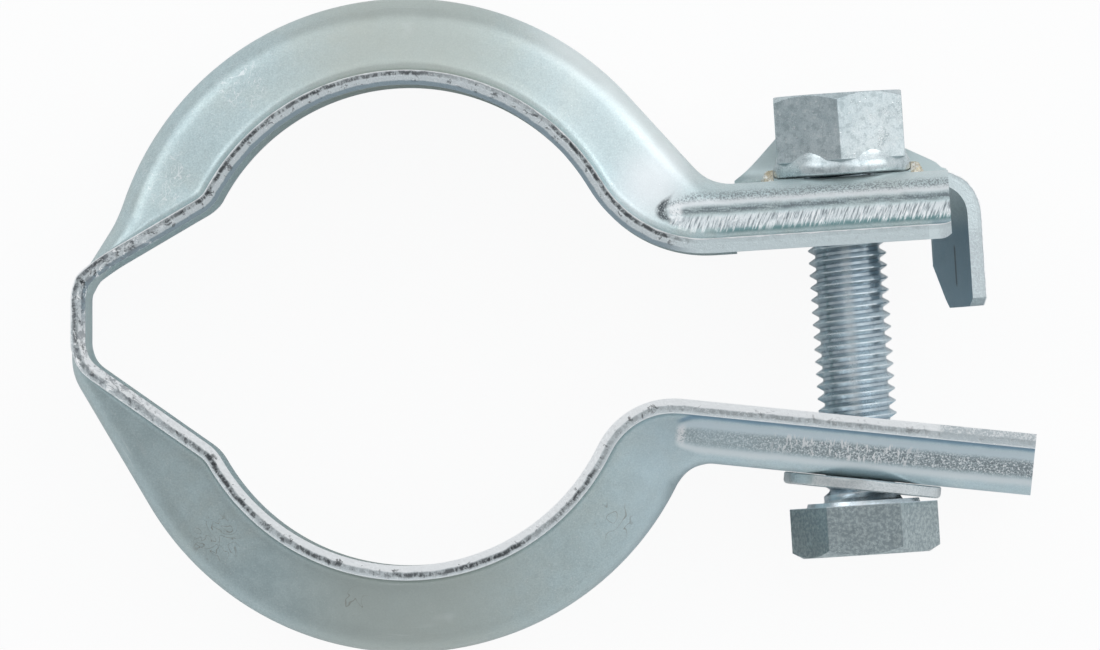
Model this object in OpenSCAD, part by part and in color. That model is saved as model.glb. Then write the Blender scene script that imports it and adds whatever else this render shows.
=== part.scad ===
// Tube clamp: a one-piece pressed strap of hat section with two curved arms, a flat
// spring neck and two channel ears, closed by a hex bolt, a flat washer and a weld nut.
// Millimetres. +Z runs along the tube, +X from the tube towards the ears, +Y towards
// the upper arm. The origin lies on the axis of the upper arm's seat, at mid width.
// The clamp is shown open, as it leaves the press.

/* [Tube] */
// Outside diameter of the tube that the clamp grips
tube_d = 42.4; // [33.5:0.1:51]
// Play between the tube and each seat
seat_play = 0.3; // [0:0.05:0.6]
// Distance of each seat's axis from the middle plane while the clamp is open
open_shift = 2.8; // [1.5:0.1:4]

/* [Strap section] */
// Thickness of the sheet
sheet_t = 1.5; // [1.2:0.05:1.8]
// Width of the strap over its lips
strap_w = 22; // [21:0.5:27]
// Flat width of each lip
lip_w = 1.2; // [0.8:0.1:2]
// Inner radius of the bend between lip and wall
lip_bend_r = 1.2; // [0.8:0.1:1.5]
// Inner radius of the bend between wall and crown
crown_bend_r = 1.6; // [1:0.1:1.8]
// Lean of the walls out of the square
wall_lean = 10; // [5:1:16]
// Height of the section over the arms, from the lip's face to the crown
arm_rise = 8.8; // [7.5:0.1:9.5]

/* [Neck] */
// Distance from the seat to the inner face of the neck
neck_gap = 10.9; // [10:0.1:13]
// Inner radius of the two neck bends
neck_bend_r = 3; // [2:0.1:3.5]
// Radius of the lip's kink where the seat ends
kink_r = 3; // [2:0.1:4]

/* [Upper arm] */
// Lean of the upper ear, rising away from the tube
upper_tilt = 3.7; // [2:0.1:6]
// Height of the upper ear's lips over the seat's axis
upper_lip_v = 2.45; // [1.5:0.05:3.5]
// Height of the upper ear's section
upper_rise = 6.95; // [6:0.05:7.5]
// Lip radius of the bend between the upper seat and ear
upper_bend_r = 13.5; // [11:0.1:15]
// Radius of the crown where it turns into the upper ear
upper_crown_r = 4.4; // [3.5:0.1:6]
// Length of the upper ear's straight channel
upper_l = 21.9; // [21:0.1:27]
// Angle at which the upper crown leaves its circle on the ear's side
upper_from = 42.5; // [38:0.5:43]
// Angle at which the upper seat ends on the neck's side
upper_kink = 152.5; // [150:0.5:156]
// Slope of the straight stretch between the upper seat and the neck
upper_leaf = 30.5; // [27:0.5:35]
// Angle at which the upper crown leaves its circle on the neck's side
upper_crown_to = 164.6; // [158:0.1:166]
// Straight height of the upper crown above the neck bend
upper_heel = 0.7; // [0.2:0.1:3]

/* [Lower arm] */
// Lean of the lower ear, falling away from the tube
lower_tilt = 5.7; // [3:0.1:7]
// Height of the lower ear's lips under the seat's axis
lower_lip_v = 1.85; // [1.5:0.05:3.5]
// Height of the lower ear's section
lower_rise = 6.2; // [6:0.05:7.5]
// Lip radius of the bend between the lower seat and ear
lower_bend_r = 8.5; // [8:0.1:15]
// Radius of the crown where it turns into the lower ear
lower_crown_r = 3.5; // [2.5:0.1:4.5]
// Length of the lower ear's straight channel
lower_l = 32.3; // [28:0.1:39]
// Angle at which the lower crown leaves its circle on the ear's side
lower_from = 27; // [26:1:40]
// Angle at which the lower seat ends on the neck's side
lower_kink = 151; // [149:0.5:156]
// Slope of the straight stretch between the lower seat and the neck
lower_leaf = 35; // [30:0.5:37]
// Angle at which the lower crown leaves its circle on the neck's side
lower_crown_to = 149; // [146:1:156]
// Straight height of the lower crown above the neck bend
lower_heel = 3.2; // [1:0.1:4]

/* [Guard and tab of the upper ear] */
// Play between the nut's corner and the guard
guard_play = 0.5; // [0.4:0.1:1]
// Inner radius of the guard's bend
guard_bend_r = 1.5; // [1:0.1:2]
// Distance from the end of the far wall to the guard
guard_gap = 0.2; // [0.2:0.1:1]
// Distance that the guard stops short of the ear's end
guard_short = 0.1; // [0:0.1:1]
// Height of the guard's end over the web
guard_end_h = 0.5; // [0:0.1:2]
// Rounding of the guard's peak
guard_peak_r = 5; // [2:0.1:7]
// Slope of the guard's edge on the tube's side
guard_rise_a = 45; // [40:1:50]
// Slope of the guard's edge on the tab's side
guard_fall_a = 28; // [20:1:30]
// Inner radius of the tab's bend
tab_bend_r = 3; // [2:0.1:3.2]
// Distance from the start of the tab's bend to the ear's end
tab_back = 1.15; // [0:0.05:1.5]
// Distance that the tab reaches past the ear's lips
tab_reach = 6.95; // [4:0.05:8]
// Skew of the tab's bend line
tab_skew = 18; // [0:1:20]
// Size of the cut on the tab's far corner
tab_corner = 4.4; // [2:0.1:5]
// Size of the cut on the tab's near corner
tab_edge = 0.8; // [0.4:0.1:2]
// Size of the cut on the end of the near lip
lip_corner = 2.3; // [1:0.1:3]

/* [Bolt] */
// Nominal diameter of the bolt
bolt_d = 8; // [6.6:0.1:8]
// Length of the bolt under its head
bolt_l = 40; // [34:1:45]
// Amount by which the thread's crests stay under the nominal diameter
thread_under = 0.1; // [0.05:0.05:0.2]
// Width of the bolt's head across its flats
head_af = 13; // [10:0.5:14]
// Height of the bolt's head with its washer face
head_h = 5.5; // [4:0.1:7]
// Height of the washer face under the head
head_face_h = 0.4; // [0.2:0.1:0.6]
// Diameter of the washer face under the head
head_face_d = 11.5; // [10:0.1:12.5]
// Distance from the start of the upper ear's channel to the bolt's axis
bolt_in = 11.2; // [10:0.1:12]
// Play between the head's rim and the washer
head_play = 0.05; // [0:0.01:0.2]

/* [Weld nut] */
// Width of the nut across its flats
nut_af = 13; // [11:0.5:13]
// Height of the nut with its collar
nut_h = 8.3; // [7:0.1:10]
// Diameter of the nut's round collar
nut_collar_d = 14; // [13.5:0.1:14.2]
// Height of the nut's round collar
nut_collar_h = 1.5; // [0.8:0.1:2]
// Radial play between the bolt's nominal size and the nut's bore
nut_play = 0; // [0:0.01:0.1]
// Gap that the weld leaves under the collar
weld_gap = 0.2; // [0.15:0.05:0.5]
// Play between each weld bead and the nut's collar
bead_play = 0.03; // [0.02:0.01:0.1]
// Leg of each weld bead
bead_leg = 1.3; // [0.8:0.1:1.6]
// Width of each weld bead as an angle about the nut
bead_a = 16; // [10:1:30]

/* [Washer and holes] */
// Outside diameter of the washer
washer_d = 16; // [14:0.5:19]
// Play between the nominal bolt and the washer's hole
washer_play = 0.4; // [0.4:0.05:0.8]
// Thickness of the washer
washer_t = 1.2; // [1:0.1:1.4]
// Gap between the washer and the crown that it bears on
washer_gap = 0.05; // [0:0.01:0.2]
// Play between the nominal bolt and the holes in the ears
hole_play = 1; // [0.8:0.1:1.5]
// Extra length of the slot in the lower ear
slot_extra = 3; // [1:0.5:4]

/* [Hidden] */

$fn = 96;
bend_steps = 4;
neck_steps = 12;
ear_steps = 10;
guide_steps = 12;
tiny = 0.01;
// The lofted stretches are thinner than the exact ones by this step on each face, and
// their ends sit this deep in them, so that no two faces of a joint coincide
joint_step = 0.02;
joint_in = 0.1;
zinc = [0.66, 0.71, 0.72];
steel_blue = [0.52, 0.58, 0.65];
scorched = [0.68, 0.62, 0.48];

seat_r = tube_d / 2 + seat_play;
crown_r = seat_r + arm_rise;
wall_a = 90 - wall_lean;
lip_mid_r = lip_bend_r + sheet_t / 2;
crown_mid_r = crown_bend_r + sheet_t / 2;
bends_h = (lip_mid_r + crown_mid_r) * (1 - cos(wall_a));
neck_reach = seat_r + neck_gap;
neck_out = neck_reach + sheet_t;

// One list of driving values for each arm, read by the functions below
upper_arm = [upper_tilt, upper_lip_v, upper_rise, upper_bend_r, upper_crown_r,
             upper_from, upper_kink, upper_crown_to, upper_heel, upper_leaf];
lower_arm = [lower_tilt, lower_lip_v, lower_rise, lower_bend_r, lower_crown_r,
             lower_from, lower_kink, lower_crown_to, lower_heel, lower_leaf];
function tilt(arm) = arm[0];
function lip_v(arm) = arm[1];
function crown_v(arm) = arm[1] + arm[2];
function ear_rise(arm) = arm[2];
function lip_turn_r(arm) = arm[3];
function crown_turn_r(arm) = arm[4];
function seat_from(arm) = arm[5];
function kink_a(arm) = arm[6];
function crown_to(arm) = arm[7];
function heel(arm) = arm[8];
function leaf_slope(arm) = arm[9];
// The exact seat ends where either the lip or the crown leaves its circle
function seat_to(arm) = min(kink_a(arm), crown_to(arm));

// Points of an arc from one angle to another
function arc(centre, r, from, to, steps = guide_steps) =
    [for (i = [0:steps]) let (a = from + (to - from) * i / steps) centre + r * [cos(a), sin(a)]];

// Length of a path up to each of its points
function runs(path, i = 0, run = 0) =
    i == len(path) - 1 ? [run] : concat([run], runs(path, i + 1, run + norm(path[i + 1] - path[i])));

// Point at a share of a path's length
function along(path, share) =
    let (run = runs(path))
    let (want = share * run[len(run) - 1])
    let (k = min(len(path) - 2, max([for (i = [0:len(run) - 1]) if (run[i] <= want + 1e-9) i])))
    path[k] + (path[k + 1] - path[k]) * (want - run[k]) / (run[k + 1] - run[k]);

// Half of the hat section along its middle surface, from the lip's edge to the crown:
// height, distance from the middle and slope of each point
function half_middle(h) =
    let (wall_l = (h - bends_h) / sin(wall_a))
    let (z_lip = strap_w / 2 - lip_w)
    let (z_crown = z_lip - (lip_mid_r + crown_mid_r) * sin(wall_a) - wall_l * cos(wall_a))
    concat(
        [[0, strap_w / 2, 0]],
        [for (i = [0:bend_steps]) let (a = wall_a * i / bend_steps)
            [lip_mid_r * (1 - cos(a)), z_lip - lip_mid_r * sin(a), a]],
        [for (i = [bend_steps:-1:0]) let (a = wall_a * i / bend_steps)
            [h - crown_mid_r * (1 - cos(a)), z_crown + crown_mid_r * sin(a), a]]
    );

// One side of the half section. A section lower than its own bends is the lowest true
// one pressed flatter. thick_lip and thick_crown stretch the sheet where the section
// plane crosses it at a slant, and skin is taken off each of its faces.
function half_side(rise, side, thick_lip, thick_crown, skin) =
    let (h = rise - (thick_lip + thick_crown) * sheet_t / 2)
    let (h_true = max(h, bends_h + 0.2))
    let (press = h / h_true)
    [for (p = half_middle(h_true))
        let (n = [cos(p[2]), press * sin(p[2])] / norm([cos(p[2]), press * sin(p[2])]))
        let (thick = thick_lip + (thick_crown - thick_lip) * p[0] / h_true)
        [thick_lip * sheet_t / 2 + p[0] * press + side * n[0] * (thick * sheet_t / 2 - skin),
         min(p[1], strap_w / 2 - skin) + side * n[1] * (sheet_t / 2 - skin)]];

function flipped(side) = [for (i = [len(side) - 1:-1:0]) [side[i][0], -side[i][1]]];
function backwards(side) = [for (i = [len(side) - 1:-1:0]) side[i]];

// Closed outline of the hat section: height over the lip's face, then distance from the middle
function hat(rise, thick_lip = 1, thick_crown = 1, skin = 0) =
    let (outside = half_side(rise, 1, thick_lip, thick_crown, skin))
    let (inside = half_side(rise, -1, thick_lip, thick_crown, skin))
    concat(outside, flipped(outside), backwards(flipped(inside)), backwards(inside));

// Closed outline of the upper ear: a hat's near half and a flat web
function half_hat(rise, web) =
    let (outside = half_side(rise, 1, 1, 1, 0))
    let (inside = half_side(rise, -1, 1, 1, 0))
    concat(outside, [[rise, -web], [rise - sheet_t, -web]], backwards(inside));

// Half width of the flat crown for a given height of the section
function crown_flat(rise) = half_middle(rise - sheet_t)[2 * bend_steps + 2][1];

// Guide lines of the stretch between seat and ear, in the ear's own frame
function turn_centre(arm) =
    let (v = lip_v(arm) + lip_turn_r(arm))
    [sqrt(pow(seat_r + lip_turn_r(arm), 2) - pow(v, 2)), v];
function crown_corner(arm) =
    let (a = seat_from(arm) - tilt(arm))
    [crown_r * cos(a) + (crown_r * sin(a) - crown_v(arm)) * tan(a), crown_v(arm)];
function crown_tangent(arm) =
    crown_turn_r(arm) * tan((90 - seat_from(arm) + tilt(arm)) / 2);
function ear_from(arm) =
    max(turn_centre(arm)[0], crown_corner(arm)[0] + crown_tangent(arm)) + 0.1;
function ear_lip_guide(arm) =
    let (c = turn_centre(arm))
    let (a = atan2(c[1], c[0]))
    concat(
        arc([0, 0], seat_r, seat_from(arm) - tilt(arm), a, 4),
        arc(c, lip_turn_r(arm), 180 + a, 270),
        [[ear_from(arm), lip_v(arm)]]
    );
function ear_crown_guide(arm) =
    let (a = seat_from(arm) - tilt(arm))
    let (centre = crown_corner(arm) + [crown_tangent(arm), crown_turn_r(arm)])
    concat(
        [crown_r * [cos(a), sin(a)]],
        arc(centre, crown_turn_r(arm), 180 + a, 270),
        [[ear_from(arm), crown_v(arm)]]
    );

// Guide lines of the stretch between seat and neck, in the arm's frame
function kink_centre(arm) = (seat_r + kink_r) * [cos(kink_a(arm)), sin(kink_a(arm))];
function leaf_normal(arm) = [-sin(leaf_slope(arm)), cos(leaf_slope(arm))];
function leaf_start(arm) = kink_centre(arm) - kink_r * leaf_normal(arm);
function leaf_corner(arm) =
    let (p = leaf_start(arm))
    [-neck_reach, p[1] - (p[0] + neck_reach) * tan(leaf_slope(arm))];
function leaf_end(arm) =
    let (a = leaf_slope(arm))
    leaf_corner(arm) + neck_bend_r * tan((90 - a) / 2) * [cos(a), sin(a)];
function neck_centre(arm) = leaf_end(arm) - neck_bend_r * leaf_normal(arm);
function neck_lip_guide(arm) =
    concat(
        seat_to(arm) < kink_a(arm) ? arc([0, 0], seat_r, seat_to(arm), kink_a(arm), 4) : [],
        arc(kink_centre(arm), kink_r, 180 + kink_a(arm), 270 + leaf_slope(arm), 4),
        arc(neck_centre(arm), neck_bend_r, 90 + leaf_slope(arm), 180)
    );
function neck_crown_guide(arm) =
    concat(
        seat_to(arm) < crown_to(arm) ? arc([0, 0], crown_r, seat_to(arm), crown_to(arm))
                                     : [crown_r * [cos(seat_to(arm)), sin(seat_to(arm))]],
        [[-neck_out, neck_centre(arm)[1] + heel(arm)], [-neck_out, neck_centre(arm)[1]]]
    );

// Unit vector square to a path at a share of its length
function square_to(path, share) =
    let (step = along(path, min(1, share + 0.02)) - along(path, max(0, share - 0.02)))
    [-step[1], step[0]] / norm(step);

// Factor by which a slanting section plane stretches the sheet
function slant(path, share, ray) =
    share <= 0 || share >= 1 ? 1 : 1 / max(0.7, abs(square_to(path, share) * ray));

// Hat sections strung between a lip guide and a crown guide, which both run clockwise
// about the tube
module loft(lip_guide, crown_guide, steps) {
    // each end has two like sections, one sunk into the neighbour and one short of it
    rings = [for (i = [0:steps + 2])
        let (share = max(0, min(1, (i - 1) / steps)))
        let (p = along(lip_guide, share))
        let (q = along(crown_guide, share))
        let (ray = (q - p) / norm(q - p))
        let (sunk = i <= 1 ? (3 * i / 2 - 1) * joint_in
                  : i > steps ? (1 - 3 * (steps + 2 - i) / 2) * joint_in : 0)
        let (thick_lip = slant(lip_guide, share, ray))
        let (thick_crown = slant(crown_guide, share, ray))
        [for (h = hat(norm(q - p), thick_lip, thick_crown, joint_step))
            [p[0] + ray[0] * h[0] + ray[1] * sunk, p[1] + ray[1] * h[0] - ray[0] * sunk, h[1]]]];
    count = len(rings[0]);
    sides = [for (i = [0:steps + 1], j = [0:count - 1])
        let (a = i * count + j)
        let (b = i * count + (j + 1) % count)
        each [[a, b, b + count], [a, b + count, a + count]]];
    // each end is closed by quads between the section's outer and inner line
    last = (steps + 2) * count;
    caps = [for (j = [0:count / 2 - 2])
        let (k = count - 1 - j)
        each [[j, k, k - 1], [j, k - 1, j + 1],
              [last + j, last + k - 1, last + k], [last + j, last + j + 1, last + k - 1]]];
    polyhedron(points = [for (ring = rings) each ring], faces = concat(caps, sides), convexity = 8);
}

// The exact seat: the hat section turned about the tube
module seat(arm) {
    rotate([0, 0, seat_from(arm)])
        rotate_extrude(angle = seat_to(arm) - seat_from(arm), convexity = 6)
            polygon([for (h = hat(arm_rise)) [seat_r + h[0], h[1]]]);
}

// A section drawn as height and width, pushed along the ear from one place to another
module along_ear(from, to) {
    translate([from, 0, 0]) rotate([90, 0, 90]) linear_extrude(to - from, convexity = 6) children();
}

// One arm in its own frame: the seat with its runs to the neck and to the ear
module arm_body(arm) {
    seat(arm);
    loft(backwards(neck_lip_guide(arm)), backwards(neck_crown_guide(arm)), neck_steps);
    rotate([0, 0, tilt(arm)]) loft(ear_lip_guide(arm), ear_crown_guide(arm), ear_steps);
}

module lower_place() {
    translate([0, -2 * open_shift, 0]) mirror([0, 1, 0]) children();
}

module neck_plate() {
    top = neck_centre(upper_arm)[1];
    bottom = -2 * open_shift - neck_centre(lower_arm)[1];
    translate([-neck_out, bottom, -strap_w / 2]) cube([sheet_t, top - bottom, strap_w]);
}

upper_end = ear_from(upper_arm) + upper_l;
lower_end = ear_from(lower_arm) + lower_l;
bolt_u = ear_from(upper_arm) + bolt_in;
web_far = nut_af / sqrt(3) + guard_play - guard_bend_r;

// Place of the bolt: its axis is square to the upper ear
module bolt_place() {
    rotate([0, 0, upper_tilt]) translate([bolt_u, 0, 0]) rotate([-90, 0, 0]) children();
}

// A point of the upper ear's frame, seen in the lower ear's frame
function in_lower_ear(u, v) =
    let (x = u * cos(upper_tilt) - v * sin(upper_tilt))
    let (y = -2 * open_shift - u * sin(upper_tilt) - v * cos(upper_tilt))
    [x * cos(lower_tilt) + y * sin(lower_tilt), -x * sin(lower_tilt) + y * cos(lower_tilt)];

// Height along the bolt at which it crosses a height of the lower ear
function bolt_v_at(lower_v) =
    (in_lower_ear(bolt_u, 0)[1] - lower_v) / cos(upper_tilt + lower_tilt);
function lower_u_at(lower_v) = in_lower_ear(bolt_u, bolt_v_at(lower_v))[0];

washer_v = crown_v(lower_arm) + washer_gap;
rim_v = washer_v + washer_t + head_play;
head_v = (in_lower_ear(bolt_u + head_face_d / 2, 0)[1] - rim_v) / cos(upper_tilt + lower_tilt);
nut_v = crown_v(upper_arm) + weld_gap;

// Guard: the web's far edge turned up behind the nut
module guard() {
    v0 = crown_v(upper_arm);
    guard_from = ear_from(upper_arm) + guard_gap;
    guard_to = upper_end - guard_short;
    centre = [v0 + guard_bend_r, -web_far];
    r_in = guard_bend_r + joint_step;
    r_out = guard_bend_r + sheet_t - joint_step;
    turns = concat([-2], [for (i = [1:6]) 15 * i]);
    bend_out = [for (a = turns) centre + r_out * [-cos(a), -sin(a)]];
    bend_in = [for (a = turns) centre + r_in * [-cos(a), -sin(a)]];
    top = v0 + guard_to - guard_from;
    z_in = -web_far - r_in;
    // past the tab's fold the guard stands free
    free_from = upper_end - tab_back - (crown_flat(upper_rise) + web_far) * tan(tab_skew) - guard_gap;
    end_v = v0 + guard_end_h;
    rise = [cos(guard_rise_a), sin(guard_rise_a)];
    fall = [cos(guard_fall_a), -sin(guard_fall_a)];
    span = guard_to - guard_from;
    run = (guard_end_h + span * tan(guard_fall_a)) / (tan(guard_rise_a) + tan(guard_fall_a));
    peak = [guard_from + run, v0 + run * tan(guard_rise_a)];
    tangent = guard_peak_r * tan((guard_rise_a + guard_fall_a) / 2);
    round_from = peak - tangent * rise;
    round_centre = round_from + guard_peak_r * [rise[1], -rise[0]];
    difference() {
        intersection() {
            along_ear(guard_from, guard_to)
                polygon(concat(bend_out, [[top, -web_far - r_out], [top, z_in]], backwards(bend_in)));
            translate([0, 0, -web_far - r_out - 1])
                linear_extrude(r_out + 2, convexity = 4)
                    polygon(concat(
                        [[free_from, v0 - 2 * sheet_t], [free_from, v0], [guard_to, v0], [guard_to, end_v]],
                        backwards(arc(round_centre, guard_peak_r, 90 + guard_rise_a, 90 - guard_fall_a)),
                        [[guard_from, v0], [guard_from, v0 - 2 * sheet_t]]
                    ));
        }
        translate([free_from, v0 - 2 * sheet_t, z_in])
            cube([guard_to - free_from + 1, 4 * sheet_t, 2 * r_in]);
    }
}

// Tab: the web's end turned down over the ear's mouth, on a skewed bend line
module tab() {
    v0 = crown_v(upper_arm);
    near = crown_flat(upper_rise) - joint_step;
    wide = (near + web_far - joint_step) / cos(tab_skew);
    thick = sheet_t - 2 * joint_step;
    r_in = tab_bend_r + joint_step;
    sink_a = asin(joint_in / r_in);
    low = lip_v(upper_arm) - tab_reach;
    high = v0 - tab_bend_r - sheet_t;
    translate([upper_end - tab_back, 0, near]) rotate([0, tab_skew, 0]) difference() {
        mirror([0, 0, 1]) linear_extrude(wide, convexity = 4)
            polygon(concat(
                arc([0, high], r_in + thick, 90 + sink_a, 0),
                [[r_in + thick, low], [r_in, low]],
                arc([0, high], r_in, 0, 90 + sink_a)
            ));
        // clipped corners at the foot
        translate([r_in - 1, low, 0]) rotate([0, 90, 0]) linear_extrude(thick + 2, convexity = 4) {
            polygon([[-1, tab_edge + 1], [-1, -1], [tab_edge + 1, -1]]);
            polygon([[wide - tab_corner - 1, -1], [wide + 1, -1], [wide + 1, tab_corner + 1]]);
        }
    }
}

module upper_ear() {
    from = ear_from(upper_arm);
    near = crown_flat(upper_rise);
    fold = upper_end - tab_back;
    difference() {
        translate([0, lip_v(upper_arm), 0])
            along_ear(from, upper_end) polygon(half_hat(upper_rise, web_far));
        // slanting end of the web, where the tab's bend starts
        rotate([-90, 0, 0]) mirror([0, 0, 1]) linear_extrude(4 * upper_rise, convexity = 4)
            polygon([[fold, near], [upper_end + 1, near], [upper_end + 1, -web_far - 1],
                     [fold - (near + web_far + 1) * tan(tab_skew), -web_far - 1]]);
        // clipped corner of the near lip
        translate([0, lip_v(upper_arm) - 1, 0]) rotate([-90, 0, 0]) mirror([0, 0, 1])
            linear_extrude(upper_rise / 2 + 1, convexity = 4)
                polygon([[upper_end - lip_corner, strap_w / 2 + tiny],
                         [upper_end + 1, strap_w / 2 + tiny],
                         [upper_end + 1, strap_w / 2 - lip_corner - 1]]);
    }
    guard();
    tab();
}

module lower_ear() {
    translate([0, lip_v(lower_arm), 0])
        along_ear(ear_from(lower_arm), lower_end) polygon(hat(lower_rise));
}

module strap() {
    slot_l = slot_extra / 2;
    color(zinc) difference() {
        union() {
            arm_body(upper_arm);
            rotate([0, 0, upper_tilt]) upper_ear();
            neck_plate();
            lower_place() {
                arm_body(lower_arm);
                rotate([0, 0, lower_tilt]) lower_ear();
            }
        }
        bolt_place() translate([0, 0, crown_v(upper_arm) - 2 * sheet_t])
            cylinder(d = bolt_d + hole_play, h = 4 * sheet_t);
        lower_place() rotate([0, 0, lower_tilt])
            translate([lower_u_at(crown_v(lower_arm) - sheet_t / 2), crown_v(lower_arm) - 2 * sheet_t, 0])
                rotate([-90, 0, 0]) {
                    for (s = [-1, 1]) translate([s * slot_l, 0, 0])
                        cylinder(d = bolt_d + hole_play, h = 4 * sheet_t);
                    translate([-slot_l, -(bolt_d + hole_play) / 2, 0])
                        cube([2 * slot_l, bolt_d + hole_play, 4 * sheet_t]);
                }
    }
}

// Hexagon with its corners turned down to a cone at one or both ends
module hexagon(af, h, low_cut, high_cut) {
    corner_r = af / sqrt(3);
    flat_r = af / 2 - 0.1;
    drop = (corner_r - flat_r) * tan(30);
    intersection() {
        rotate([0, 0, 30]) cylinder(r = corner_r, h = h, $fn = 6);
        rotate_extrude(convexity = 4)
            polygon([[0, 0], [low_cut ? flat_r : corner_r + 1, 0],
                     [low_cut ? corner_r : corner_r + 1, low_cut ? drop : 0],
                     [high_cut ? corner_r : corner_r + 1, h - (high_cut ? drop : 0)],
                     [high_cut ? flat_r : corner_r + 1, h], [0, h]]);
    }
}

module bolt() {
    shank_r = (bolt_d - thread_under) / 2;
    tip = bolt_d / 10;
    color(steel_blue) bolt_place() translate([0, 0, head_v]) {
        rotate_extrude(convexity = 4)
            polygon([[0, -head_h / 2], [head_face_d / 2, -head_h / 2], [head_face_d / 2, 0], [shank_r, 0],
                     [shank_r, bolt_l - tip], [shank_r - tip, bolt_l], [0, bolt_l]]);
        translate([0, 0, -head_h]) rotate([0, 0, 30]) hexagon(head_af, head_h - head_face_h, true, false);
    }
}

module weld_nut() {
    color(zinc) bolt_place() translate([0, 0, nut_v]) difference() {
        union() {
            cylinder(d = nut_collar_d, h = nut_collar_h);
            translate([0, 0, nut_collar_h]) hexagon(nut_af, nut_h - nut_collar_h, true, true);
        }
        translate([0, 0, -1]) cylinder(r = bolt_d / 2 + nut_play, h = nut_h + 2);
    }
}

// Fillet welds that hold the nut's collar to the web, towards the tube and the tab
module weld_beads() {
    r = nut_collar_d / 2 + bead_play;
    color(scorched) bolt_place() translate([0, 0, crown_v(upper_arm)])
        for (side = [0, 180]) rotate([0, 0, side - bead_a / 2])
            rotate_extrude(angle = bead_a, convexity = 4)
                polygon(concat([[r, 0]], arc([r, 0], bead_leg, 0, 90, 6)));
}

module washer() {
    edge = washer_t / 6;
    r_in = (bolt_d + washer_play) / 2;
    r_out = washer_d / 2;
    color(zinc) lower_place() rotate([0, 0, lower_tilt])
        translate([lower_u_at(washer_v + washer_t / 2), washer_v, 0]) rotate([-90, 0, 0])
            rotate_extrude(convexity = 4)
                polygon([[r_in, 0], [r_out, 0], [r_out, washer_t - edge], [r_out - edge, washer_t], [r_in, washer_t]]);
}

strap();
weld_nut();
weld_beads();
bolt();
washer();
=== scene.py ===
"""The look of the tube clamp: a zinc-plated pressed strap with a hex bolt, a washer and a weld nut."""

import logging
import math
from collections.abc import Callable, Sequence
from dataclasses import dataclass
from enum import Enum

import bmesh
import bpy
from mathutils import Matrix, Vector


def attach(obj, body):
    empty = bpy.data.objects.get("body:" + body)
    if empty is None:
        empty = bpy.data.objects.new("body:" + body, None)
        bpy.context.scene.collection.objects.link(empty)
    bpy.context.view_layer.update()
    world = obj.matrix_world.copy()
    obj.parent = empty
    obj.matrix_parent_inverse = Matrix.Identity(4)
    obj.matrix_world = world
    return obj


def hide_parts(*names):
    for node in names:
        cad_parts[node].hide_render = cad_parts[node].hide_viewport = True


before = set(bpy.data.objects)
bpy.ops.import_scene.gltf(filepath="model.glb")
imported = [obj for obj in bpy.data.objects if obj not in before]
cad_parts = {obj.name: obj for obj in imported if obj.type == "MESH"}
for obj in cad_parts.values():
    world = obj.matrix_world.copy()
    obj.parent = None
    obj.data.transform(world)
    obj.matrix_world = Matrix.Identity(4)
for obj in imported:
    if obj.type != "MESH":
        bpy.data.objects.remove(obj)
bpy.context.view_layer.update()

LOG = logging.getLogger("tube_clamp")
MM = 0.001
UPPER_TILT = 3.7
LOWER_TILT = 5.7
SEAT_DROP = 5.6
Point = tuple[float, float]
Place = tuple[float, float, float]
Tone = tuple[float, float, float]
Socket = bpy.types.NodeSocket
Row = list[bmesh.types.BMVert]


class Side(Enum):
    """The two arms, by the side of the middle plane that they are on."""

    UPPER = 1
    LOWER = -1


@dataclass(frozen=True)
class BoltPlace:
    """Where the bolt's axis stands in the row frame, square to the upper ear."""

    tilt: float = UPPER_TILT
    along: float = 44.7295
    head_v: float = -23.4822
    nut_v: float = 9.6

    def matrix(self, v: float) -> Matrix:
        """Turns a piece that is built on +Z onto the bolt's axis.

        Args:
            v: Height on the axis of the piece's origin.

        Returns:
            The transform in millimetres.
        """
        turn = Matrix.Rotation(math.radians(self.tilt), 4, "Z")
        return turn @ Matrix.Translation((self.along, v, 0.0)) @ Matrix.Rotation(math.radians(-90), 4, "X")


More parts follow.
